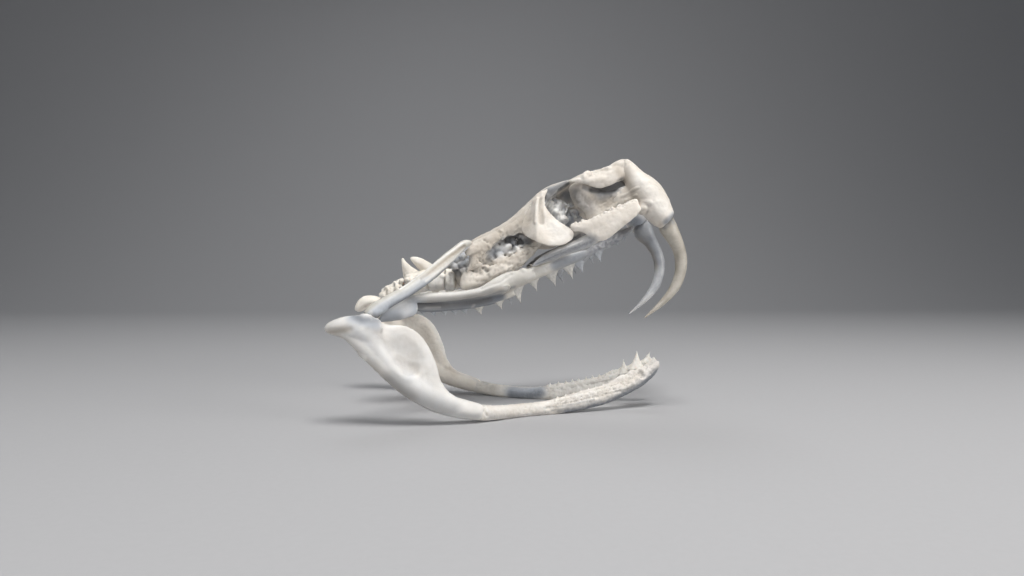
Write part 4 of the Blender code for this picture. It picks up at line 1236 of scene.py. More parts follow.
def tooth_row_plan(material):
    """Instances of one tooth, with its tip over the front of its foot, on every point of a mesh."""
    group = bpy.data.node_groups.new("row of teeth", "GeometryNodeTree")
    face = group.interface
    face.new_socket("Geometry", in_out="INPUT", socket_type="NodeSocketGeometry")
    inputs = {}
    for name, kind in (("Sides", "Int"), ("Steps", "Int"), ("Rake", "Float"), ("Bow", "Float"),
                       ("Taper", "Float"), ("Unevenness", "Float"), ("Seed", "Int")):
        inputs[name] = face.new_socket(name, in_out="INPUT", socket_type="NodeSocket" + kind).identifier
    face.new_socket("Geometry", in_out="OUTPUT", socket_type="NodeSocketGeometry")
    plan = Plan(group)
    given = group.nodes.new("NodeGroupInput")

    def value(name):
        return Wire(plan, given.outputs[name])

    def named(kind, name):
        return plan.node("GeometryNodeInputNamedAttribute", {"data_type": kind}, {"Name": name})

    stub = plan.node("GeometryNodeMeshCylinder", {"fill_type": "TRIANGLE_FAN"}, {
        "Vertices": value("Sides"), "Side Segments": value("Steps"), "Radius": 1.0, "Depth": 1.0})
    here = plan.node("GeometryNodeInputPosition")
    x, y, z = (plan.node("ShaderNodeSeparateXYZ", inputs={0: here}, output=axis) for axis in "XYZ")
    height = z + 0.5
    left_over = 1.001 - height
    taper = left_over ** value("Taper")
    forward = (x - value("Rake")) * taper + value("Bow") * height * left_over
    shaped = plan.node("ShaderNodeCombineXYZ", inputs={"X": forward, "Y": y * (left_over ** 0.85),
                                                       "Z": height})
    tooth = plan.node("GeometryNodeSetPosition", inputs={"Geometry": stub, "Position": shaped})
    stand = named("FLOAT_VECTOR", "stand")
    length = plan.node("ShaderNodeVectorMath", {"operation": "LENGTH"}, {0: stand}, output="Value")
    turn = plan.node("FunctionNodeAlignRotationToVector", {"axis": "Z"}, {"Vector": stand})
    turn = plan.node("FunctionNodeAlignRotationToVector", {"axis": "X", "pivot_axis": "Z"},
                     {"Rotation": turn, "Vector": named("FLOAT_VECTOR", "run")})
    chance = plan.node("FunctionNodeRandomValue", {"data_type": "FLOAT"}, {
        2: 1.0 - value("Unevenness"), 3: 1.0 + value("Unevenness"), "Seed": value("Seed")}, output=1)
    size = plan.node("ShaderNodeCombineXYZ", inputs={
        "X": named("FLOAT", "broad") * chance, "Y": named("FLOAT", "thin") * chance, "Z": length})
    row = plan.node("GeometryNodeInstanceOnPoints", inputs={
        "Points": Wire(plan, given.outputs["Geometry"]), "Instance": tooth, "Rotation": turn,
        "Scale": size})
    row = plan.node("GeometryNodeRealizeInstances", inputs={"Geometry": row})
    row = plan.node("GeometryNodeMergeByDistance", inputs={"Geometry": row, "Distance": 0.00003})
    row = plan.node("GeometryNodeSetShadeSmooth", inputs={"Geometry": row})
    row = plan.node("GeometryNodeSetMaterial", inputs={"Geometry": row, "Material": material})
    end = group.nodes.new("NodeGroupOutput")
    group.links.new(row.socket, end.inputs["Geometry"])
    return group, inputs


def teeth_row(name, teeth, plan, left=False, **settings):
    """Teeth as rows of (foot, tip, run, broad, thin), in millimetres on the right side."""
    group, inputs = plan
    side = -1 if left else 1

    def on_side(spot):
        return tuple(place(spot[0], side * spot[1], spot[2]))

    feet, tips, runs, broad, thin = zip(*teeth)
    mesh = bpy.data.meshes.new(name)
    mesh.from_pydata([on_side(np.add(foot, SHIFT)) for foot in feet], [], [])
    set_column(mesh, "stand", [on_side(np.subtract(tip, foot)) for foot, tip in zip(feet, tips)])
    set_column(mesh, "run", [on_side(run) for run in runs])
    set_column(mesh, "broad", np.multiply(broad, MM))
    set_column(mesh, "thin", np.multiply(thin, MM))
    row = bpy.data.objects.new(name, mesh)
    bpy.context.scene.collection.objects.link(row)
    modifier = row.modifiers.new("Row of teeth", "NODES")
    modifier.node_group = group
    for key, number in {"Sides": 12, "Steps": 9, "Rake": 1.0, "Bow": 0.0, "Taper": 1.1,
                        "Unevenness": 0.08, "Seed": SEED, **settings}.items():
        modifier[inputs[key]] = number
    settle(row)
    return row


# A palate tooth of size 1: its foot's front ahead of the tip, its two widths, and where the
# foot stands in the half height of the bone; then the run along which the bone's slope is read
FIN_AHEAD = 1.1
FIN_BROAD = 5.7
FIN_THIN = 1.1
FIN_SINK = 0.95
FIN_RUN = 4.0


def fin_teeth(teeth, carriers):
    """Rows for the palate's teeth, each on a broad foot that reaches behind its tip."""
    rows = []
    for forward, tip_up, size in teeth:
        carrier = carriers[0] if forward > RIDGE_SPLIT else carriers[-1]
        front = forward + FIN_AHEAD * size
        out = row_value(carrier, 1, front)
        foot_up = row_value(carrier, 2, front) - FIN_SINK * row_value(carrier, 4, front)
        drop = row_value(carrier, 2, forward) - row_value(carrier, 2, forward - FIN_RUN)
        rows.append(((front, out, foot_up), (forward, out - 0.2, tip_up), (FIN_RUN, 0.0, drop),
                     FIN_BROAD * size, FIN_THIN * size))
    return rows


# A small jaw tooth's two widths, and a front tooth's for each unit of its half thickness
POINT_BROAD = 2.7
POINT_THIN = 1.1
FRONT_BROAD = 1.35
FRONT_THIN = 0.5
FRONT_SINK = 1.6


def jaw_teeth(small, front, height):
    """Rows for the lower jaw's teeth: small points on the ridge, then the large front ones."""
    rows = []
    for forward in small:
        out = jaw_out(forward) - ALVEOLAR_INWARD
        ridge = row_value(ALVEOLAR_RIDGE, 1, forward)
        rows.append(((forward + 0.8, out, ridge), (forward, out - 0.3, ridge + height),
                     (1.0, 0.0, 0.2), POINT_BROAD, POINT_THIN))
    for foot, tip, radius in front:
        inner = jaw_out(foot[0]) - ALVEOLAR_INWARD - 0.8
        rows.append(((foot[0] + radius * 0.4, inner, foot[1] - FRONT_SINK),
                     (tip[0], jaw_out(tip[0]) - ALVEOLAR_INWARD, tip[1]), (1.0, 0.0, 0.35),
                     radius * FRONT_BROAD, radius * FRONT_THIN))
    return rows


# Marks read from the photograph

# On the near jaw the grey marks paint shade at the joint and darker towards the lower edge, the cool marks
# a bluish highlight along the ridge and bluish shade at the joint, the pale marks the ridge's highlight,
# and the brown marks stain and shade under the heel, in the fossa and along the lower side.
COMPOUND_MARKS = (
    ("ease", ((372, 330), (390, 350), (410, 374), (432, 394), (455, 404)), 9.0, 1.0, 90),
    ("ease", ((374, 324), (384, 330), (392, 336)), 5.0, 1.0, 60),
    ("press", ((398, 355), (409, 362)), 7.0, 0.8),
    ("press", ((398, 363), (406, 369), (413, 370)), 3.2, 0.6),
    ("raise", ((402, 376), (409, 379), (416, 378), (421, 372)), 1.6, 0.22),
    ("raise", ((366, 334), (378, 346), (390, 359), (400, 370)), 2.6, 0.4),
    ("rough", ((396, 360), (410, 370)), 4.0, 0.07, 0.9),
    ("brown", ((398, 360), (408, 366), (415, 369)), 4.0, 0.25),
    ("brown", ((402, 370), (409, 374), (417, 373)), 1.2, 0.3),
    ("raise", ((368, 327), (373, 321), (378, 322)), 1.3, 0.5),
    ("raise", ((371, 321), (372, 314)), 1.0, 0.4),
    ("ease", ((346, 322), (356, 327), (366, 334)), 4.0, 1.0, 40),
    ("press", ((331, 333), (340, 331.5), (349, 329)), 2.0, 0.45),
    ("brown", ((329, 333), (340, 331.5), (349, 329)), 1.8, 0.7),
    ("ease", ((352, 320), (364, 322), (374, 324)), 4.0, 1.0, 50),
    ("raise", ((360, 355), (364, 358)), 1.6, 0.5),
    ("grey", ((392, 380), (412, 396), (434, 405), (452, 410)), 5.0, 0.5),
    ("cool", ((354, 324), (368, 337), (384, 352), (398, 366), (410, 376)), 3.6, 0.35),
    ("pale", ((362, 330), (376, 344), (390, 358), (402, 371)), 2.0, 0.5),
    ("cool", ((420, 385), (440, 398)), 4.0, 0.2),
    ("brown", ((326, 334), (334, 332), (346, 329)), 2.6, 0.5),
    ("brown", ((334, 338), (346, 344), (362, 358), (386, 380), (410, 398)), 4.2, 0.5),
    ("grey", ((410, 400), (430, 410), (452, 414), (478, 416.5)), 2.0, 0.4),
    ("cool", ((352, 318), (366, 322), (376, 324)), 3.4, 0.8),
    ("grey", ((354, 316), (362, 319), (370, 319), (378, 319)), 2.2, 0.75),
    ("brown", ((386, 334), (404, 338), (416, 352)), 7.0, 0.14),
    ("rough", ((380, 335), (410, 345), (430, 370)), 14.0, 0.10, 3.0),
)
# On the far jaw the pale marks paint highlights along its crest and bar, the cool and grey marks a bluish
# patch of shade on its bar, and the brown marks stain and shade.
COMPOUND_FAR_MARKS = (
    ("press", ((358, 312), (366, 307), (374, 304)), 1.6, 0.6),
    ("raise", ((412, 317), (418, 317)), 1.6, 0.5),
    ("rough", ((424, 322), (434, 335), (438, 350), (450, 365)), 10.0, 0.12, 1.1),
    ("brown", ((424, 328), (430, 340), (434, 352)), 3.0, 0.25),
    ("brown", ((446, 368), (470, 376), (500, 386)), 1.6, 0.35),
    ("pale", ((430, 318), (438, 334), (444, 350), (462, 361), (500, 373)), 2.0, 0.7),
    ("cool", ((512, 392), (526, 393), (540, 391)), 6.0, 1.0),
    ("grey", ((512, 396), (526, 397), (540, 394)), 3.0, 0.8),
)
# The grey marks paint shade on the lower side and under the ridge, the pale mark a highlight on the bar,
# the hollow mark shade in the front pit, and the brown mark stain and shade.
DENTARY_MARKS = (
    ("rough", ((556, 402), (590, 395), (620, 386), (648, 370)), 3.5, 0.26, 1.3),
    ("press", ((547, 408), (580, 401), (620, 391)), 0.9, 0.35),
    ("raise", ((556, 400), (585, 394), (620, 385)), 1.0, 0.4),
    ("press", ((641, 373), (643, 376)), 1.6, 0.9),
    ("press", ((483, 404), (484, 411), (487, 416)), 0.8, 0.35),
    ("grey", ((590, 408), (604, 405), (622, 399.5), (638, 391.5), (650, 382), (656, 374)), 4.2, 1.2),
    ("grey", ((566, 412), (580, 410), (600, 405)), 3.0, 1.0),
    ("grey", ((558, 411.5), (582, 408)), 1.5, 0.6),
    ("grey", ((544, 408), (566, 405.5), (594, 399.5)), 0.6, 0.6),
    ("grey", ((552, 410.5), (574, 407.5), (600, 402)), 0.5, 0.6),
    ("grey", ((490, 417), (520, 416.5), (548, 413)), 1.5, 0.35),
    ("raise", ((552, 407), (584, 401), (612, 393), (634, 384)), 0.9, 0.25),
    ("grey", ((486, 404), (492, 405)), 1.4, 0.4),
    ("pale", ((500, 409), (545, 407)), 2.6, 0.4),
    ("porous", ((556, 402), (600, 392), (645, 372)), 4.0, 0.35),
    ("brown", ((610, 384), (625, 382), (640, 374)), 2.0, 0.25),
    ("hollow", ((641, 373), (643, 376)), 1.3, 0.9),
)
# On the far tooth-bearing bone the cool and grey marks paint a bluish patch of shade, and the pale mark
# paints it lighter as light.
DENTARY_FAR_MARKS = (
    ("cool", ((512, 392), (526, 393), (539, 391)), 5.0, 1.0),
    ("grey", ((512, 396), (526, 397), (539, 394)), 3.0, 0.8),
    ("rough", ((548, 390), (580, 384), (612, 374)), 4.0, 0.2, 1.3),
    ("pale", ((556, 389), (585, 384), (620, 376)), 3.6, 0.4),
)
# The brown marks are stain and shade along the groove of the upper edge, the pale marks a painted highlight
# on the ridge, the cool and grey marks painted shade on the lower face, and the hollow and grey marks at
# the lower end painted shade at the joint.
QUADRATE_MARKS = (
    ("brown", ((464, 246.5), (450, 256), (436, 267), (422, 278)), 1.3, 0.75),
    ("press", ((464, 246.5), (450, 256), (436, 267), (422, 278)), 1.2, 0.35),
    ("pale", ((462, 243), (440, 259), (418, 276), (400, 289)), 0.8, 0.9),
    ("pale", ((468, 248), (448, 264), (426, 281)), 0.8, 0.8),
    ("cool", ((430, 286), (410, 297), (390, 306), (374, 314)), 4.4, 0.95),
    ("grey", ((468, 252), (448, 269), (430, 285), (410, 300), (392, 310)), 1.7, 1.0),
    ("hollow", ((364, 317), (370, 318.5), (378, 318)), 2.4, 0.9),
    ("grey", ((364, 317), (370, 318.5), (378, 318)), 3.0, 0.8),
    ("pale", ((371, 312), (372, 319)), 1.0, 0.35),
)
# The cool, grey and hollow marks paint shade under the rod, on the flange and on the upper band; the pale
# marks paint highlights and glints along the rod and on the flange; the brown marks are stain and shade.
PTERYGOID_MARKS = (
    ("ease", ((412, 297), (450, 296), (480, 292), (500, 284), (512, 276)), 3.0, 1.0, 20),
    ("ease", ((470, 297), (488, 293), (504, 288), (520, 283)), 4.5, 1.0, 90),
    ("rough", ((536, 272), (560, 266), (580, 256)), 3.0, 0.1, 1.4),
    ("raise", ((536, 264), (542, 265), (556, 259.5), (580, 250.6)), 0.9, 0.35),
    ("raise", ((521, 265), (524, 270)), 1.6, 0.6),
    ("press", ((482, 288), (500, 282), (511, 274)), 1.0, 0.3),
    ("cool", ((380, 318), (396, 312), (414, 308)), 6.0, 0.95),
    ("grey", ((378, 319), (388, 319), (398, 318)), 3.0, 0.6),
    ("cool", ((556, 264), (580, 256), (600, 248)), 3.5, 0.8),
    ("grey", ((558, 266), (580, 257), (604, 246)), 4.0, 0.65),
    ("grey", ((408, 302), (450, 301), (480, 297.5), (500, 292), (514, 287)), 1.2, 0.6),
    ("grey", ((420, 305.5), (445, 306), (478, 303), (500, 297)), 3.2, 1.2),
    ("grey", ((422, 311), (445, 312), (471, 310), (490, 305)), 4.4, 1.3),
    ("hollow", ((418, 305), (445, 305.5), (478, 302), (490, 299)), 1.8, 0.9),
    ("pale", ((394, 303), (401, 305), (407, 309)), 4.0, 0.4),
    ("grey", ((406, 299), (430, 298.5), (460, 297), (490, 291)), 3.6, 0.45),
    ("pale", ((417, 309), (427, 307.5), (440, 307)), 0.7, 0.35),
    ("pale", ((470, 309), (474, 305)), 0.9, 0.3),
    ("pale", ((416, 295), (450, 294), (480, 290), (504, 279)), 1.2, 0.5),
    ("grey", ((584, 250), (600, 244)), 4.0, 0.7),
    ("brown", ((500, 296), (530, 288), (560, 276)), 2.4, 0.3),
    ("brown", ((430, 300), (470, 297), (500, 290)), 2.0, 0.35),
)
PALATINE_MARKS = (
    ("rough", ((590, 252), (630, 235)), 6.0, 0.25, 1.2),
)
# Painted shade on the far ectopterygoid.
ECTOPTERYGOID_FAR_MARKS = (
    ("grey", ((528, 265), (540, 255), (552, 248), (568, 242), (590, 236)), 5.0, 0.9),
)
# The cool and grey marks paint shade on the shaft, and the pale marks paint thin highlights along it and on
# the short strokes at the plate's edge.
ECTOPTERYGOID_MARKS = (
    ("press", ((545, 262), (570, 251), (590, 243)), 1.2, 0.3),
    ("cool", ((536, 262), (560, 253), (590, 243)), 4.5, 0.6),
    ("grey", ((534, 264), (560, 254), (590, 243)), 4.0, 0.6),
    ("grey", ((536, 264), (556, 255.5), (576, 247.5)), 0.7, 1.0),
    ("pale", ((538, 259), (558, 250.5), (582, 241)), 0.5, 0.6),
    ("rough", ((538, 261), (560, 252), (586, 243)), 3.0, 0.12, 0.9),
    ("pale", ((606, 210), (603, 206)), 0.6, 0.8),
    ("pale", ((612, 207), (609, 203)), 0.6, 0.8),
    ("pale", ((618, 204), (615, 200)), 0.6, 0.8),
    ("rough", ((575, 221), (600, 214), (636, 199)), 1.6, 0.35, 0.8),
    ("rough", ((575, 226), (600, 225), (632, 212)), 8.0, 0.12, 3.0),
)
# The brown marks are stain and shade in the crease, the grey and cool marks painted bluish shade over the
# fang's root, and the pale mark a painted highlight on the lobe.
MAXILLA_MARKS = (
    ("press", ((638, 186), (639, 194), (641, 200)), 2.6, 0.35),
    ("raise", ((641, 201.5), (650, 202)), 1.3, 0.35),
    ("ease", ((628, 176), (634, 190), (638, 202)), 5.0, 1.0, 60),
    ("press", ((643, 206), (645, 211)), 2.2, 0.35),
    ("brown", ((626, 182), (632, 192), (638, 202)), 4.6, 0.5),
    ("raise", ((622, 196), (632, 190), (638, 187)), 0.8, 0.25),
    ("raise", ((626, 200), (636, 195)), 0.8, 0.25),
    ("brown", ((644, 206), (645, 212)), 2.0, 0.3),
    ("brown", ((656, 227), (664, 223), (668, 219)), 1.5, 0.5),
    ("grey", ((667, 222), (671, 218), (674, 216)), 1.9, 0.7),
    ("cool", ((667, 222), (671, 218), (674, 216)), 2.4, 0.7),
    ("rough", ((640, 180), (655, 205), (660, 222)), 12.0, 0.14, 3.2),
    ("pale", ((640, 176), (655, 196), (662, 208)), 5.0, 0.4),
)
# The cool and grey marks paint the far maxilla's end bluish as shade.
MAXILLA_FAR_MARKS = (
    ("press", ((634, 227), (640, 230), (646, 227)), 5.0, 1.5),
    ("cool", ((630, 220), (640, 226), (646, 232)), 7.0, 1.1),
    ("grey", ((630, 220), (640, 226), (646, 232)), 7.0, 0.35),
)
# The grey marks are painted shade at the root, the brown mark stain and shade, and the pale mark a painted
# highlight on the lit edge.
FANG_MARKS = (
    ("brown", ((660, 236), (668, 250), (671, 266)), 2.4, 0.35),
    ("grey", ((664, 227), (670, 220), (674, 215)), 1.8, 0.6),
    ("grey", ((668, 218), (673, 222)), 1.6, 0.6),
    ("pale", ((683, 262), (680, 280), (670, 296)), 1.6, 0.25),
)
# The grey mark paints the far fang's upper part as shade; the pale mark paints its tip paler, partly as a
# highlight.
FANG_FAR_MARKS = (
    ("raise", ((638, 234), (648, 230)), 6.0, 1.1),
    ("grey", ((640, 224), (652, 240), (657, 262)), 5.0, 0.7),
    ("pale", ((652, 296), (642, 304), (632, 312)), 2.6, 0.5),
)
# The grey and hollow marks paint the shadow in the slit under the wing and shade on the wall, the cool mark
# bluish shade in the slit, and the brown marks stain and shade in the wall's hollow and under the wing.
PREFRONTAL_MARKS = (
    ("ease", ((572, 186), (582, 186), (592, 188)), 3.4, 1.0, 50),
    ("ease", ((626, 184), (634, 180), (638, 190)), 3.0, 1.0, 40),
    ("press", ((584, 187), (592, 190), (598, 191.5)), 1.2, 0.4),
    ("grey", ((584, 188), (592, 190.5), (600, 193), (610, 192)), 1.7, 0.65),
    ("grey", ((597, 190.5), (606, 189.5), (614, 187), (622, 183.5)), 1.7, 1.0),
    ("hollow", ((592, 189.5), (601, 190.5), (608, 189), (614, 187), (621, 183.5)), 1.8, 1.3),
    ("grey", ((592, 189.5), (601, 190.5), (608, 189), (614, 187)), 1.8, 1.2),
    ("brown", ((592, 195), (604, 197), (616, 193)), 4.0, 0.5),
    ("ease", ((602, 172), (612, 171), (620, 176)), 4.0, 1.0, 30),
    ("brown", ((616, 166), (619, 173), (624, 180)), 2.4, 0.5),
    ("cool", ((600, 195), (614, 191), (624, 187)), 3.0, 0.45),
    ("brown", ((605, 203), (622, 196), (634, 190)), 6.5, 0.6),
    ("brown", ((573, 190), (578, 200), (586, 210)), 5.5, 0.9),
    ("grey", ((574, 192), (580, 200), (588, 208)), 5.0, 0.6),
    ("raise", ((608, 210), (622, 200), (634, 192)), 1.0, 0.35),
    ("raise", ((600, 206), (614, 197), (626, 190)), 0.8, 0.25),
    ("raise", ((576, 183), (590, 180), (604, 178)), 1.6, 0.3),
    ("press", ((587, 200), (590, 203)), 1.8, 0.5),
    ("rough", ((585, 195), (610, 200), (630, 190)), 10.0, 0.2, 1.8),
    ("raise", ((572, 181.5), (579, 180)), 1.0, 0.35),
    ("raise", ((584, 176), (588, 173)), 1.6, 0.8),
    ("raise", ((604, 169), (608, 167.5)), 1.6, 0.5),
    ("rough", ((574, 180), (590, 176), (610, 170)), 4.0, 0.14, 1.6),
    ("brown", ((574, 184), (584, 184), (590, 186)), 1.4, 0.4),
)
# The brown marks are stain and shade in the folds; the pale mark paints a highlight on the lobe.
POSTORBITAL_MARKS = (
    ("raise", ((538, 199), (536.5, 210), (535.5, 222)), 1.2, 0.5),
    ("press", ((541.5, 199), (541, 210), (541.5, 222)), 1.3, 0.6),
    ("brown", ((541.5, 200), (541, 210), (542, 222)), 1.6, 0.35),
    ("press", ((530, 205), (528, 220)), 2.6, 0.5),
    ("press", ((546, 222), (554, 234)), 4.0, 0.25),
    ("pale", ((556, 226), (564, 236), (556, 242)), 4.0, 0.5),
    ("brown", ((527, 212), (527, 226)), 2.4, 0.35),
)
# Painted shadow on the snout, seen through the slit under the wing.
SNOUT_MARKS = (
    ("grey", ((590, 189), (606, 188.5), (618, 185)), 7.0, 0.9),
    ("hollow", ((590, 189), (606, 188.5), (618, 185)), 6.0, 0.5),
)
# The grey and hollow marks paint shade in the orbit, under the roof and in the gaps; the cool marks bluish
# shade on the lumps in the hollows and a bluish highlight on the lumps in the orbit; the pale marks
# highlights on lumps; the brown marks stain and shade.
CRANIUM_MARKS = (
    ("press", ((484, 262), (494, 256)), 1.8, 0.7),
    ("press", ((518, 241), (521, 245)), 2.0, 1.6),
    ("press", ((455, 272), (460, 276)), 2.6, 1.2),
    ("press", ((526, 262), (534, 256), (544, 250)), 2.6, 1.2),
    ("press", ((484, 268), (487, 271)), 1.1, 0.7),
    ("press", ((572, 196), (566, 208), (574, 216)), 3.0, 1.2),
    ("rough", ((496, 246), (512, 242), (528, 246)), 7.0, 0.5, 1.8),
    ("rough", ((462, 262), (480, 270), (510, 266), (535, 250)), 9.0, 0.5, 3.0),
    ("rough", ((462, 262), (480, 270), (510, 266), (535, 250)), 9.0, 0.2, 1.3),
    ("rough", ((476, 254), (500, 240), (520, 230)), 4.0, 0.25, 1.6),
    ("rough", ((550, 200), (560, 210), (572, 222)), 9.0, 0.45, 2.0),
    ("rough", ((550, 200), (560, 210), (572, 222)), 9.0, 0.15, 0.9),
    ("hollow", ((546, 198), (556, 190.5), (566, 186)), 3.4, 0.9),
    ("rough", ((480, 236), (520, 214), (550, 190)), 12.0, 0.14, 3.0),
    ("brown", ((476, 244), (500, 230), (520, 217)), 7.0, 0.5),
    ("press", ((550, 193), (557, 188.5), (565, 186)), 2.2, 0.9),
    ("hollow", ((549, 195), (556, 190), (565, 187)), 2.4, 0.8),
    ("cool", ((494, 252), (505, 246), (519, 241)), 4.8, 0.85),
    ("brown", ((498, 263), (514, 258), (528, 252), (540, 247)), 2.6, 0.4),
    ("grey", ((534, 262), (548, 251), (562, 245), (582, 238)), 4.0, 0.95),
    ("cool", ((551, 206), (560, 213), (572, 224)), 7.0, 0.9),
    ("grey", ((546, 198), (554, 190.5), (566, 185.5)), 4.0, 0.9),
    ("cool", ((450, 268), (460, 260), (468, 254)), 6.0, 1.0),
    ("pale", ((456, 264), (462, 260)), 1.4, 0.7),
    ("pale", ((549, 203), (556, 208), (562, 216)), 3.6, 0.9),
    ("grey", ((550, 190), (560, 187), (568, 196)), 5.0, 0.95),
    ("grey", ((570, 206), (576, 212), (582, 216)), 3.6, 0.9),
    ("pale", ((498, 246), (508, 247), (516, 249)), 2.2, 0.5),
    ("grey", ((509, 241), (517, 239.5), (527, 242)), 4.0, 0.85),
    ("hollow", ((511, 239), (518, 237.5), (527, 241)), 2.4, 0.7),
    ("grey", ((528, 262), (544, 250)), 3.4, 0.8),
    ("hollow", ((484, 268), (487, 271)), 1.2, 0.8),
    ("brown", ((497, 230), (500, 234)), 1.8, 0.6),
    ("brown", ((476, 268), (500, 262), (530, 250)), 3.0, 0.25),
)
# The pale marks paint light on the shaded faces of the atlas and axis; the brown marks are stain and shade
# in the gaps.
VERTEBRA_MARKS = {
    "atlas": (
        ("rough", ((452, 280), (452, 286)), 9.0, 0.15, 1.6),
        ("pale", ((450, 276), (450, 288)), 5.0, 0.9),
    ),
    "axis_vertebra": (
        ("rough", ((430, 284), (440, 284)), 9.0, 0.12, 1.6),
        ("press", ((427, 276), (428, 290)), 0.7, 0.3),
        ("brown", ((427, 277), (428, 290)), 0.6, 0.8),
        ("pale", ((432, 284), (441, 280)), 6.0, 0.9),
        ("brown", ((420, 270), (430, 276)), 4.0, 0.3),
    ),
    "neck_vertebra_3": (
        ("rough", ((410, 280), (400, 284)), 9.0, 0.35, 1.4),
        ("brown", ((404, 272), (408, 282)), 4.0, 0.3),
    ),
    "neck_vertebra_4": (
        ("rough", ((388, 292), (378, 296)), 9.0, 0.2, 1.4),
        ("press", ((393, 284), (394, 290)), 1.0, 0.8),
        ("press", ((385, 289), (386, 294)), 1.0, 0.8),
        ("press", ((399, 280), (400, 288)), 0.8, 0.6),
        ("brown", ((388, 294), (380, 298)), 4.0, 0.3),
    ),
}
# The brown and grey marks are stain and shade under the flap and along its lower edge.
SUPRATEMPORAL_MARKS = (
    ("rough", ((466, 266), (480, 250), (500, 236), (514, 226)), 8.0, 0.13, 1.5),
    ("rough", ((466, 271), (478, 261), (490, 249), (499, 241)), 2.4, 0.3, 1.1),
    ("press", ((497, 229), (500, 233)), 1.0, 0.5),
    ("press", ((484, 240), (487, 242)), 0.8, 0.4),
    ("brown", ((497, 230), (500, 234)), 1.8, 0.6),
    ("brown", ((466, 270), (478, 256), (496, 241), (510, 230)), 6.0, 0.5),
    ("grey", ((462, 274), (465, 266), (468, 258)), 2.4, 0.6),
)
# Height and grain of the unevenness all over a bone
PLAIN_GRAIN = (0.09, 2.0)
OWN_GRAIN = {
    "compound_bone": (0.05, 2.4),
    "supratemporal": (0.12, 2.0),
    "dentary": (0.14, 1.2),
    "pterygoid": (0.04, 2.0),
    "palatine": (0.16, 1.4),
    "cranium": (0.10, 2.4),
    "vertebra": (0.12, 2.2),
    "quadrate": (0.08, 2.0),
    "fang": (0.03, 1.2),
}


def dress(solid, kind, marks, like=None, extra=(), both_sides=False):
    """Works the marks of one bone into its skin and stores its stains and its painted light and shade."""
    skin = Skin(solid, like)
    before = Skin(solid) if both_sides else None
    height, grain = OWN_GRAIN.get(kind, PLAIN_GRAIN)
    skin.push(height * skin.wave(grain, 3))
    skin.work(marks)
    if both_sides:
        skin.like = before
        skin.work(marks)
    skin.like = None
    skin.work(extra)
    skin.find_hollows()
    skin.rest_on_floor()
    skin.keep()


def add_piece(piece, node, material=None):
    """Gives a finished piece its material and puts it in the place of its CAD node."""
    if material:
        piece.data.materials.clear()
        piece.data.materials.append(material)
    for face in piece.data.polygons:
        face.use_smooth = True
    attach(piece, "root")
    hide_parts(node)


PAIRED = {
    # maker, voxel, rounds of smoothing, marks of the near side, extra marks of the far side
    "quadrate": (quadrate, FINE, 4, QUADRATE_MARKS, ()),
    "supratemporal": (supratemporal, FINE, 4, SUPRATEMPORAL_MARKS, ()),
    "palatine": (palatine, FINE, 3, PALATINE_MARKS, ()),
    "ectopterygoid": (ectopterygoid, FINE, 3, ECTOPTERYGOID_MARKS, ECTOPTERYGOID_FAR_MARKS),
    "maxilla": (maxilla, FINE, 6, MAXILLA_MARKS, MAXILLA_FAR_MARKS),
    "fang": (fang, FINEST, 4, FANG_MARKS, FANG_FAR_MARKS),
    "prefrontal": (prefrontal, FINE, 4, PREFRONTAL_MARKS, ()),
    "postorbital": (postorbital, FINE, 6, POSTORBITAL_MARKS, ()),
    "pterygoid": (pterygoid, FINE, 3, PTERYGOID_MARKS, ()),
    "dentary": (dentary, FINE, 3, DENTARY_MARKS, DENTARY_FAR_MARKS),
}


def build_bones(finishes):
    ivory = finishes["ivory"]

    def finish_of(kind, side=""):
        return finishes.get(kind + side, finishes.get(kind, ivory))

    def dress_pair(kind, right, left, marks, far_marks):
        near = Skin(right)
        dress(right, kind, marks)
        dress(left, kind, marks, like=near, extra=far_marks)
        for solid, side in ((right, "_right"), (left, "_left")):
            add_piece(solid, kind + side, finish_of(kind, side))

    for kind, (make, voxel, rounds, marks, far_marks) in PAIRED.items():
        right = one_skin(kind + "_right_bone", make(), voxel, rounds)
        dress_pair(kind, right, mirrored(right, kind + "_left_bone"), marks, far_marks)

    jaws = [one_skin("compound_bone_" + side + "_bone", compound_bone(lift), COARSE, 6)
            for side, lift in (("right", 0.0), ("left", HEEL_LIFT_LEFT))]
    turn_left(jaws[1])
    dress_pair("compound_bone", *jaws, COMPOUND_MARKS, COMPOUND_FAR_MARKS)

    single = [("cranium", cranium(), CRANIUM_MARKS), ("snout", snout(), SNOUT_MARKS)]
    single += [(name, vertebra(*values), VERTEBRA_MARKS[name]) for name, values in VERTEBRAE.items()]
    for name, bm, marks in single:
        solid = one_skin(name + "_bone", bm, COARSE if name == "cranium" else FINE, 3)
        kind = "vertebra" if name in VERTEBRAE else name
        dress(solid, kind, marks, both_sides=True)
        add_piece(solid, name, finish_of(kind))


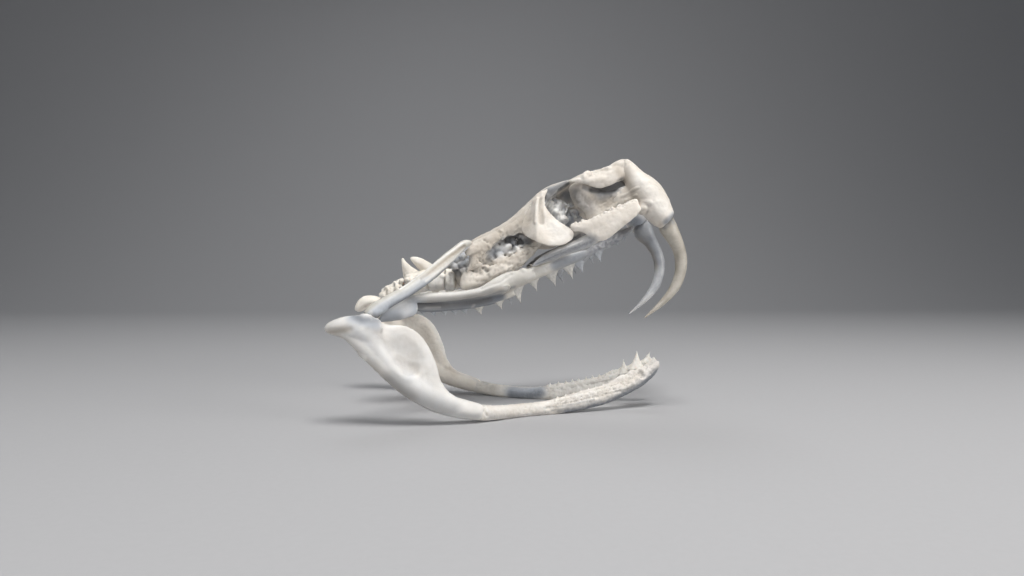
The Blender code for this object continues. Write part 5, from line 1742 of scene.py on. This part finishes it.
def build_teeth(finishes):
    near = tooth_row_plan(finishes["near_teeth"])
    bright = tooth_row_plan(finishes["jaw_teeth"])
    shaded = tooth_row_plan(finishes["shaded_teeth"])
    carriers = (PTERYGOID_FRONT, PTERYGOID_REAR_RIDGE)
    fin = {"Bow": -0.4, "Taper": 1.6}
    point = {"Rake": 0.6, "Bow": -0.15, "Taper": 1.4}
    large = [row for row in PTERYGOID_TEETH_RIGHT if row[2] > LARGE_TOOTH]
    small = [row for row in PTERYGOID_TEETH_RIGHT if row[2] <= LARGE_TOOTH]
    palate = fin_teeth(PALATINE_TEETH, (PALATINE,))
    jaw_right = jaw_teeth(SMALL_TEETH_RIGHT, FRONT_TEETH_RIGHT, SMALL_HEIGHT_RIGHT)
    jaw_left = jaw_teeth(SMALL_TEETH_LEFT, FRONT_TEETH_LEFT, SMALL_HEIGHT_LEFT)
    rows = (
        ("pterygoid_right", "teeth", fin_teeth(large, carriers), near, fin),
        ("pterygoid_right", "small_teeth", fin_teeth(small, carriers), shaded, fin),
        ("pterygoid_left", "teeth", fin_teeth(PTERYGOID_TEETH_LEFT, carriers), shaded, fin),
        ("palatine_right", "teeth", palate, shaded, fin),
        ("palatine_left", "teeth", palate, shaded, fin),
        ("dentary_right", "teeth", jaw_right, bright, point),
        ("dentary_left", "teeth", jaw_left, bright, point),
    )
    for node, suffix, teeth, plan, settings in rows:
        kind, side = node.split("_")
        row = teeth_row(node + "_" + suffix, teeth, plan, left=side == "left", **settings)
        add_piece(row, node)


BRAINCASE_BONE = bone_finish("braincase bone", colour(0.74, 0.69, 0.62), colour(0.58, 0.53, 0.47))
FINISHES = {
    "ivory": bone_finish("ivory bone", colour(0.76, 0.71, 0.645), colour(0.64, 0.585, 0.515)),
    "cranium": BRAINCASE_BONE,
    "supratemporal": BRAINCASE_BONE,
    # The neck bone finish is painted lighter as light on the neck's shaded faces.
    "vertebra": bone_finish("neck bone", colour(0.93, 0.89, 0.82), colour(0.78, 0.72, 0.63)),
    "compound_bone": bone_finish("jaw bone", colour(0.80, 0.785, 0.76), colour(0.71, 0.685, 0.65),
                                 rough=0.42, hollow_shade_share=0.35),
    # Painted lighter than the near jaw as light on the far jaw, which lies in shade.
    "compound_bone_left": bone_finish("far jaw bone", colour(0.96, 0.905, 0.82), colour(0.84, 0.77, 0.68),
                                      hollow_shade_share=0.4),
    "dentary": bone_finish("tooth bearing bone", colour(0.80, 0.765, 0.72), colour(0.64, 0.595, 0.535),
                           hollow_shade_share=0.6),
    # Painted lighter than the near side as light on the far tooth-bearing bone.
    "dentary_left": bone_finish("far tooth bearing bone", colour(0.98, 0.94, 0.87),
                                colour(0.78, 0.725, 0.65), hollow_shade_share=0.5),
    "quadrate": bone_finish("quadrate bone", colour(0.64, 0.62, 0.57), colour(0.51, 0.49, 0.44), rough=0.4),
    "pterygoid": bone_finish("palate bone", colour(0.66, 0.64, 0.60), colour(0.52, 0.50, 0.46)),
    "palatine": bone_finish("shaded palate bone", colour(0.40, 0.41, 0.43), colour(0.24, 0.25, 0.275)),
    "fang_right": fang_finish("near fang", colour(0.52, 0.485, 0.425), colour(0.37, 0.335, 0.28),
                              colour(0.76, 0.72, 0.65)),
    # Painted darker as shade on the far fang.
    "fang_left": fang_finish("far fang", colour(0.46, 0.47, 0.48), colour(0.32, 0.33, 0.35),
                             colour(0.74, 0.73, 0.70)),
    "jaw_teeth": tooth_finish("jaw teeth", colour(0.92, 0.89, 0.83), colour(0.78, 0.74, 0.67)),
    "near_teeth": tooth_finish("near teeth", colour(0.62, 0.60, 0.56), colour(0.44, 0.43, 0.41)),
    "shaded_teeth": tooth_finish("shaded teeth", colour(0.46, 0.475, 0.50), colour(0.30, 0.315, 0.34)),
}
build_bones(FINISHES)
build_teeth(FINISHES)


# Floor, light and camera

def floor_finish():
    finish = Finish("studio paper")
    grain = finish.speckle(2.0, 2.0)
    finish.feed(
        Base_Color=finish.mix(grain, colour(0.42, 0.42, 0.43), colour(0.44, 0.44, 0.45)),
        Roughness=0.9,
    )
    return finish.material


def sweep(name, width, front, turn_at, radius, height, bend_steps=24):
    """A sheet of paper on the floor that bends up into a backdrop."""
    profile = [(front, 0.0), (turn_at, 0.0)]
    for step in range(1, bend_steps + 1):
        angle = math.pi / 2 * step / bend_steps
        profile.append((turn_at + radius * math.sin(angle), radius * (1 - math.cos(angle))))
    profile.append((turn_at + radius, height))
    bm = bmesh.new()
    lines = [[bm.verts.new((side * width / 2, y, z)) for y, z in profile] for side in (-1, 1)]
    for i in range(len(profile) - 1):
        bm.faces.new((lines[0][i], lines[1][i], lines[1][i + 1], lines[0][i + 1]))
    paper = to_object(name, bm)
    for face in paper.data.polygons:
        face.use_smooth = True
    paper.data.materials.append(floor_finish())


def area_light(name, where, aim, size, power, tone=(1, 1, 1)):
    lamp = bpy.data.lights.new(name, "AREA")
    lamp.shape = "DISK"
    lamp.size = size
    lamp.energy = power
    lamp.color = tone
    holder = bpy.data.objects.new(name, lamp)
    holder.location = where
    holder.rotation_euler = (Vector(aim) - Vector(where)).to_track_quat("-Z", "Y").to_euler()
    bpy.context.scene.collection.objects.link(holder)


sweep("studio_sweep", 4.0, -1.6, 0.7, 0.6, 1.8)
world = bpy.data.worlds.new("studio")
world.use_nodes = True
world.node_tree.nodes["Background"].inputs["Color"].default_value = (0.80, 0.84, 0.90, 1.0)
world.node_tree.nodes["Background"].inputs["Strength"].default_value = 0.15
bpy.context.scene.world = world
bpy.context.scene.view_settings.view_transform = "Standard"
area_light("overhead", (0.05, -0.28, 0.70), (0, 0, 0.05), 0.28, 4.4, (1.0, 0.985, 0.965))
area_light("front_fill", (-0.22, -0.85, 0.36), (0, 0, 0.05), 0.4, 1.7, (0.96, 0.98, 1.0))
area_light("side", (0.55, -0.36, 0.20), (0, 0, 0.02), 0.30, 1.6, (1.0, 0.97, 0.94))
area_light("back_fill", (-0.10, 0.75, 1.10), (0, 0, 0.0), 0.7, 3.0, (0.98, 0.99, 1.0))

lens = bpy.data.cameras.new("portrait")
lens.sensor_width = SENSOR
lens.lens = FOCAL_PIXELS / PHOTO[0] * SENSOR
lens.clip_start = 0.01
camera = bpy.data.objects.new("portrait", lens)
camera.location = EYE * MM
camera.rotation_euler = AHEAD.to_track_quat("-Z", "Y").to_euler()
bpy.context.scene.collection.objects.link(camera)
bpy.context.scene.camera = camera
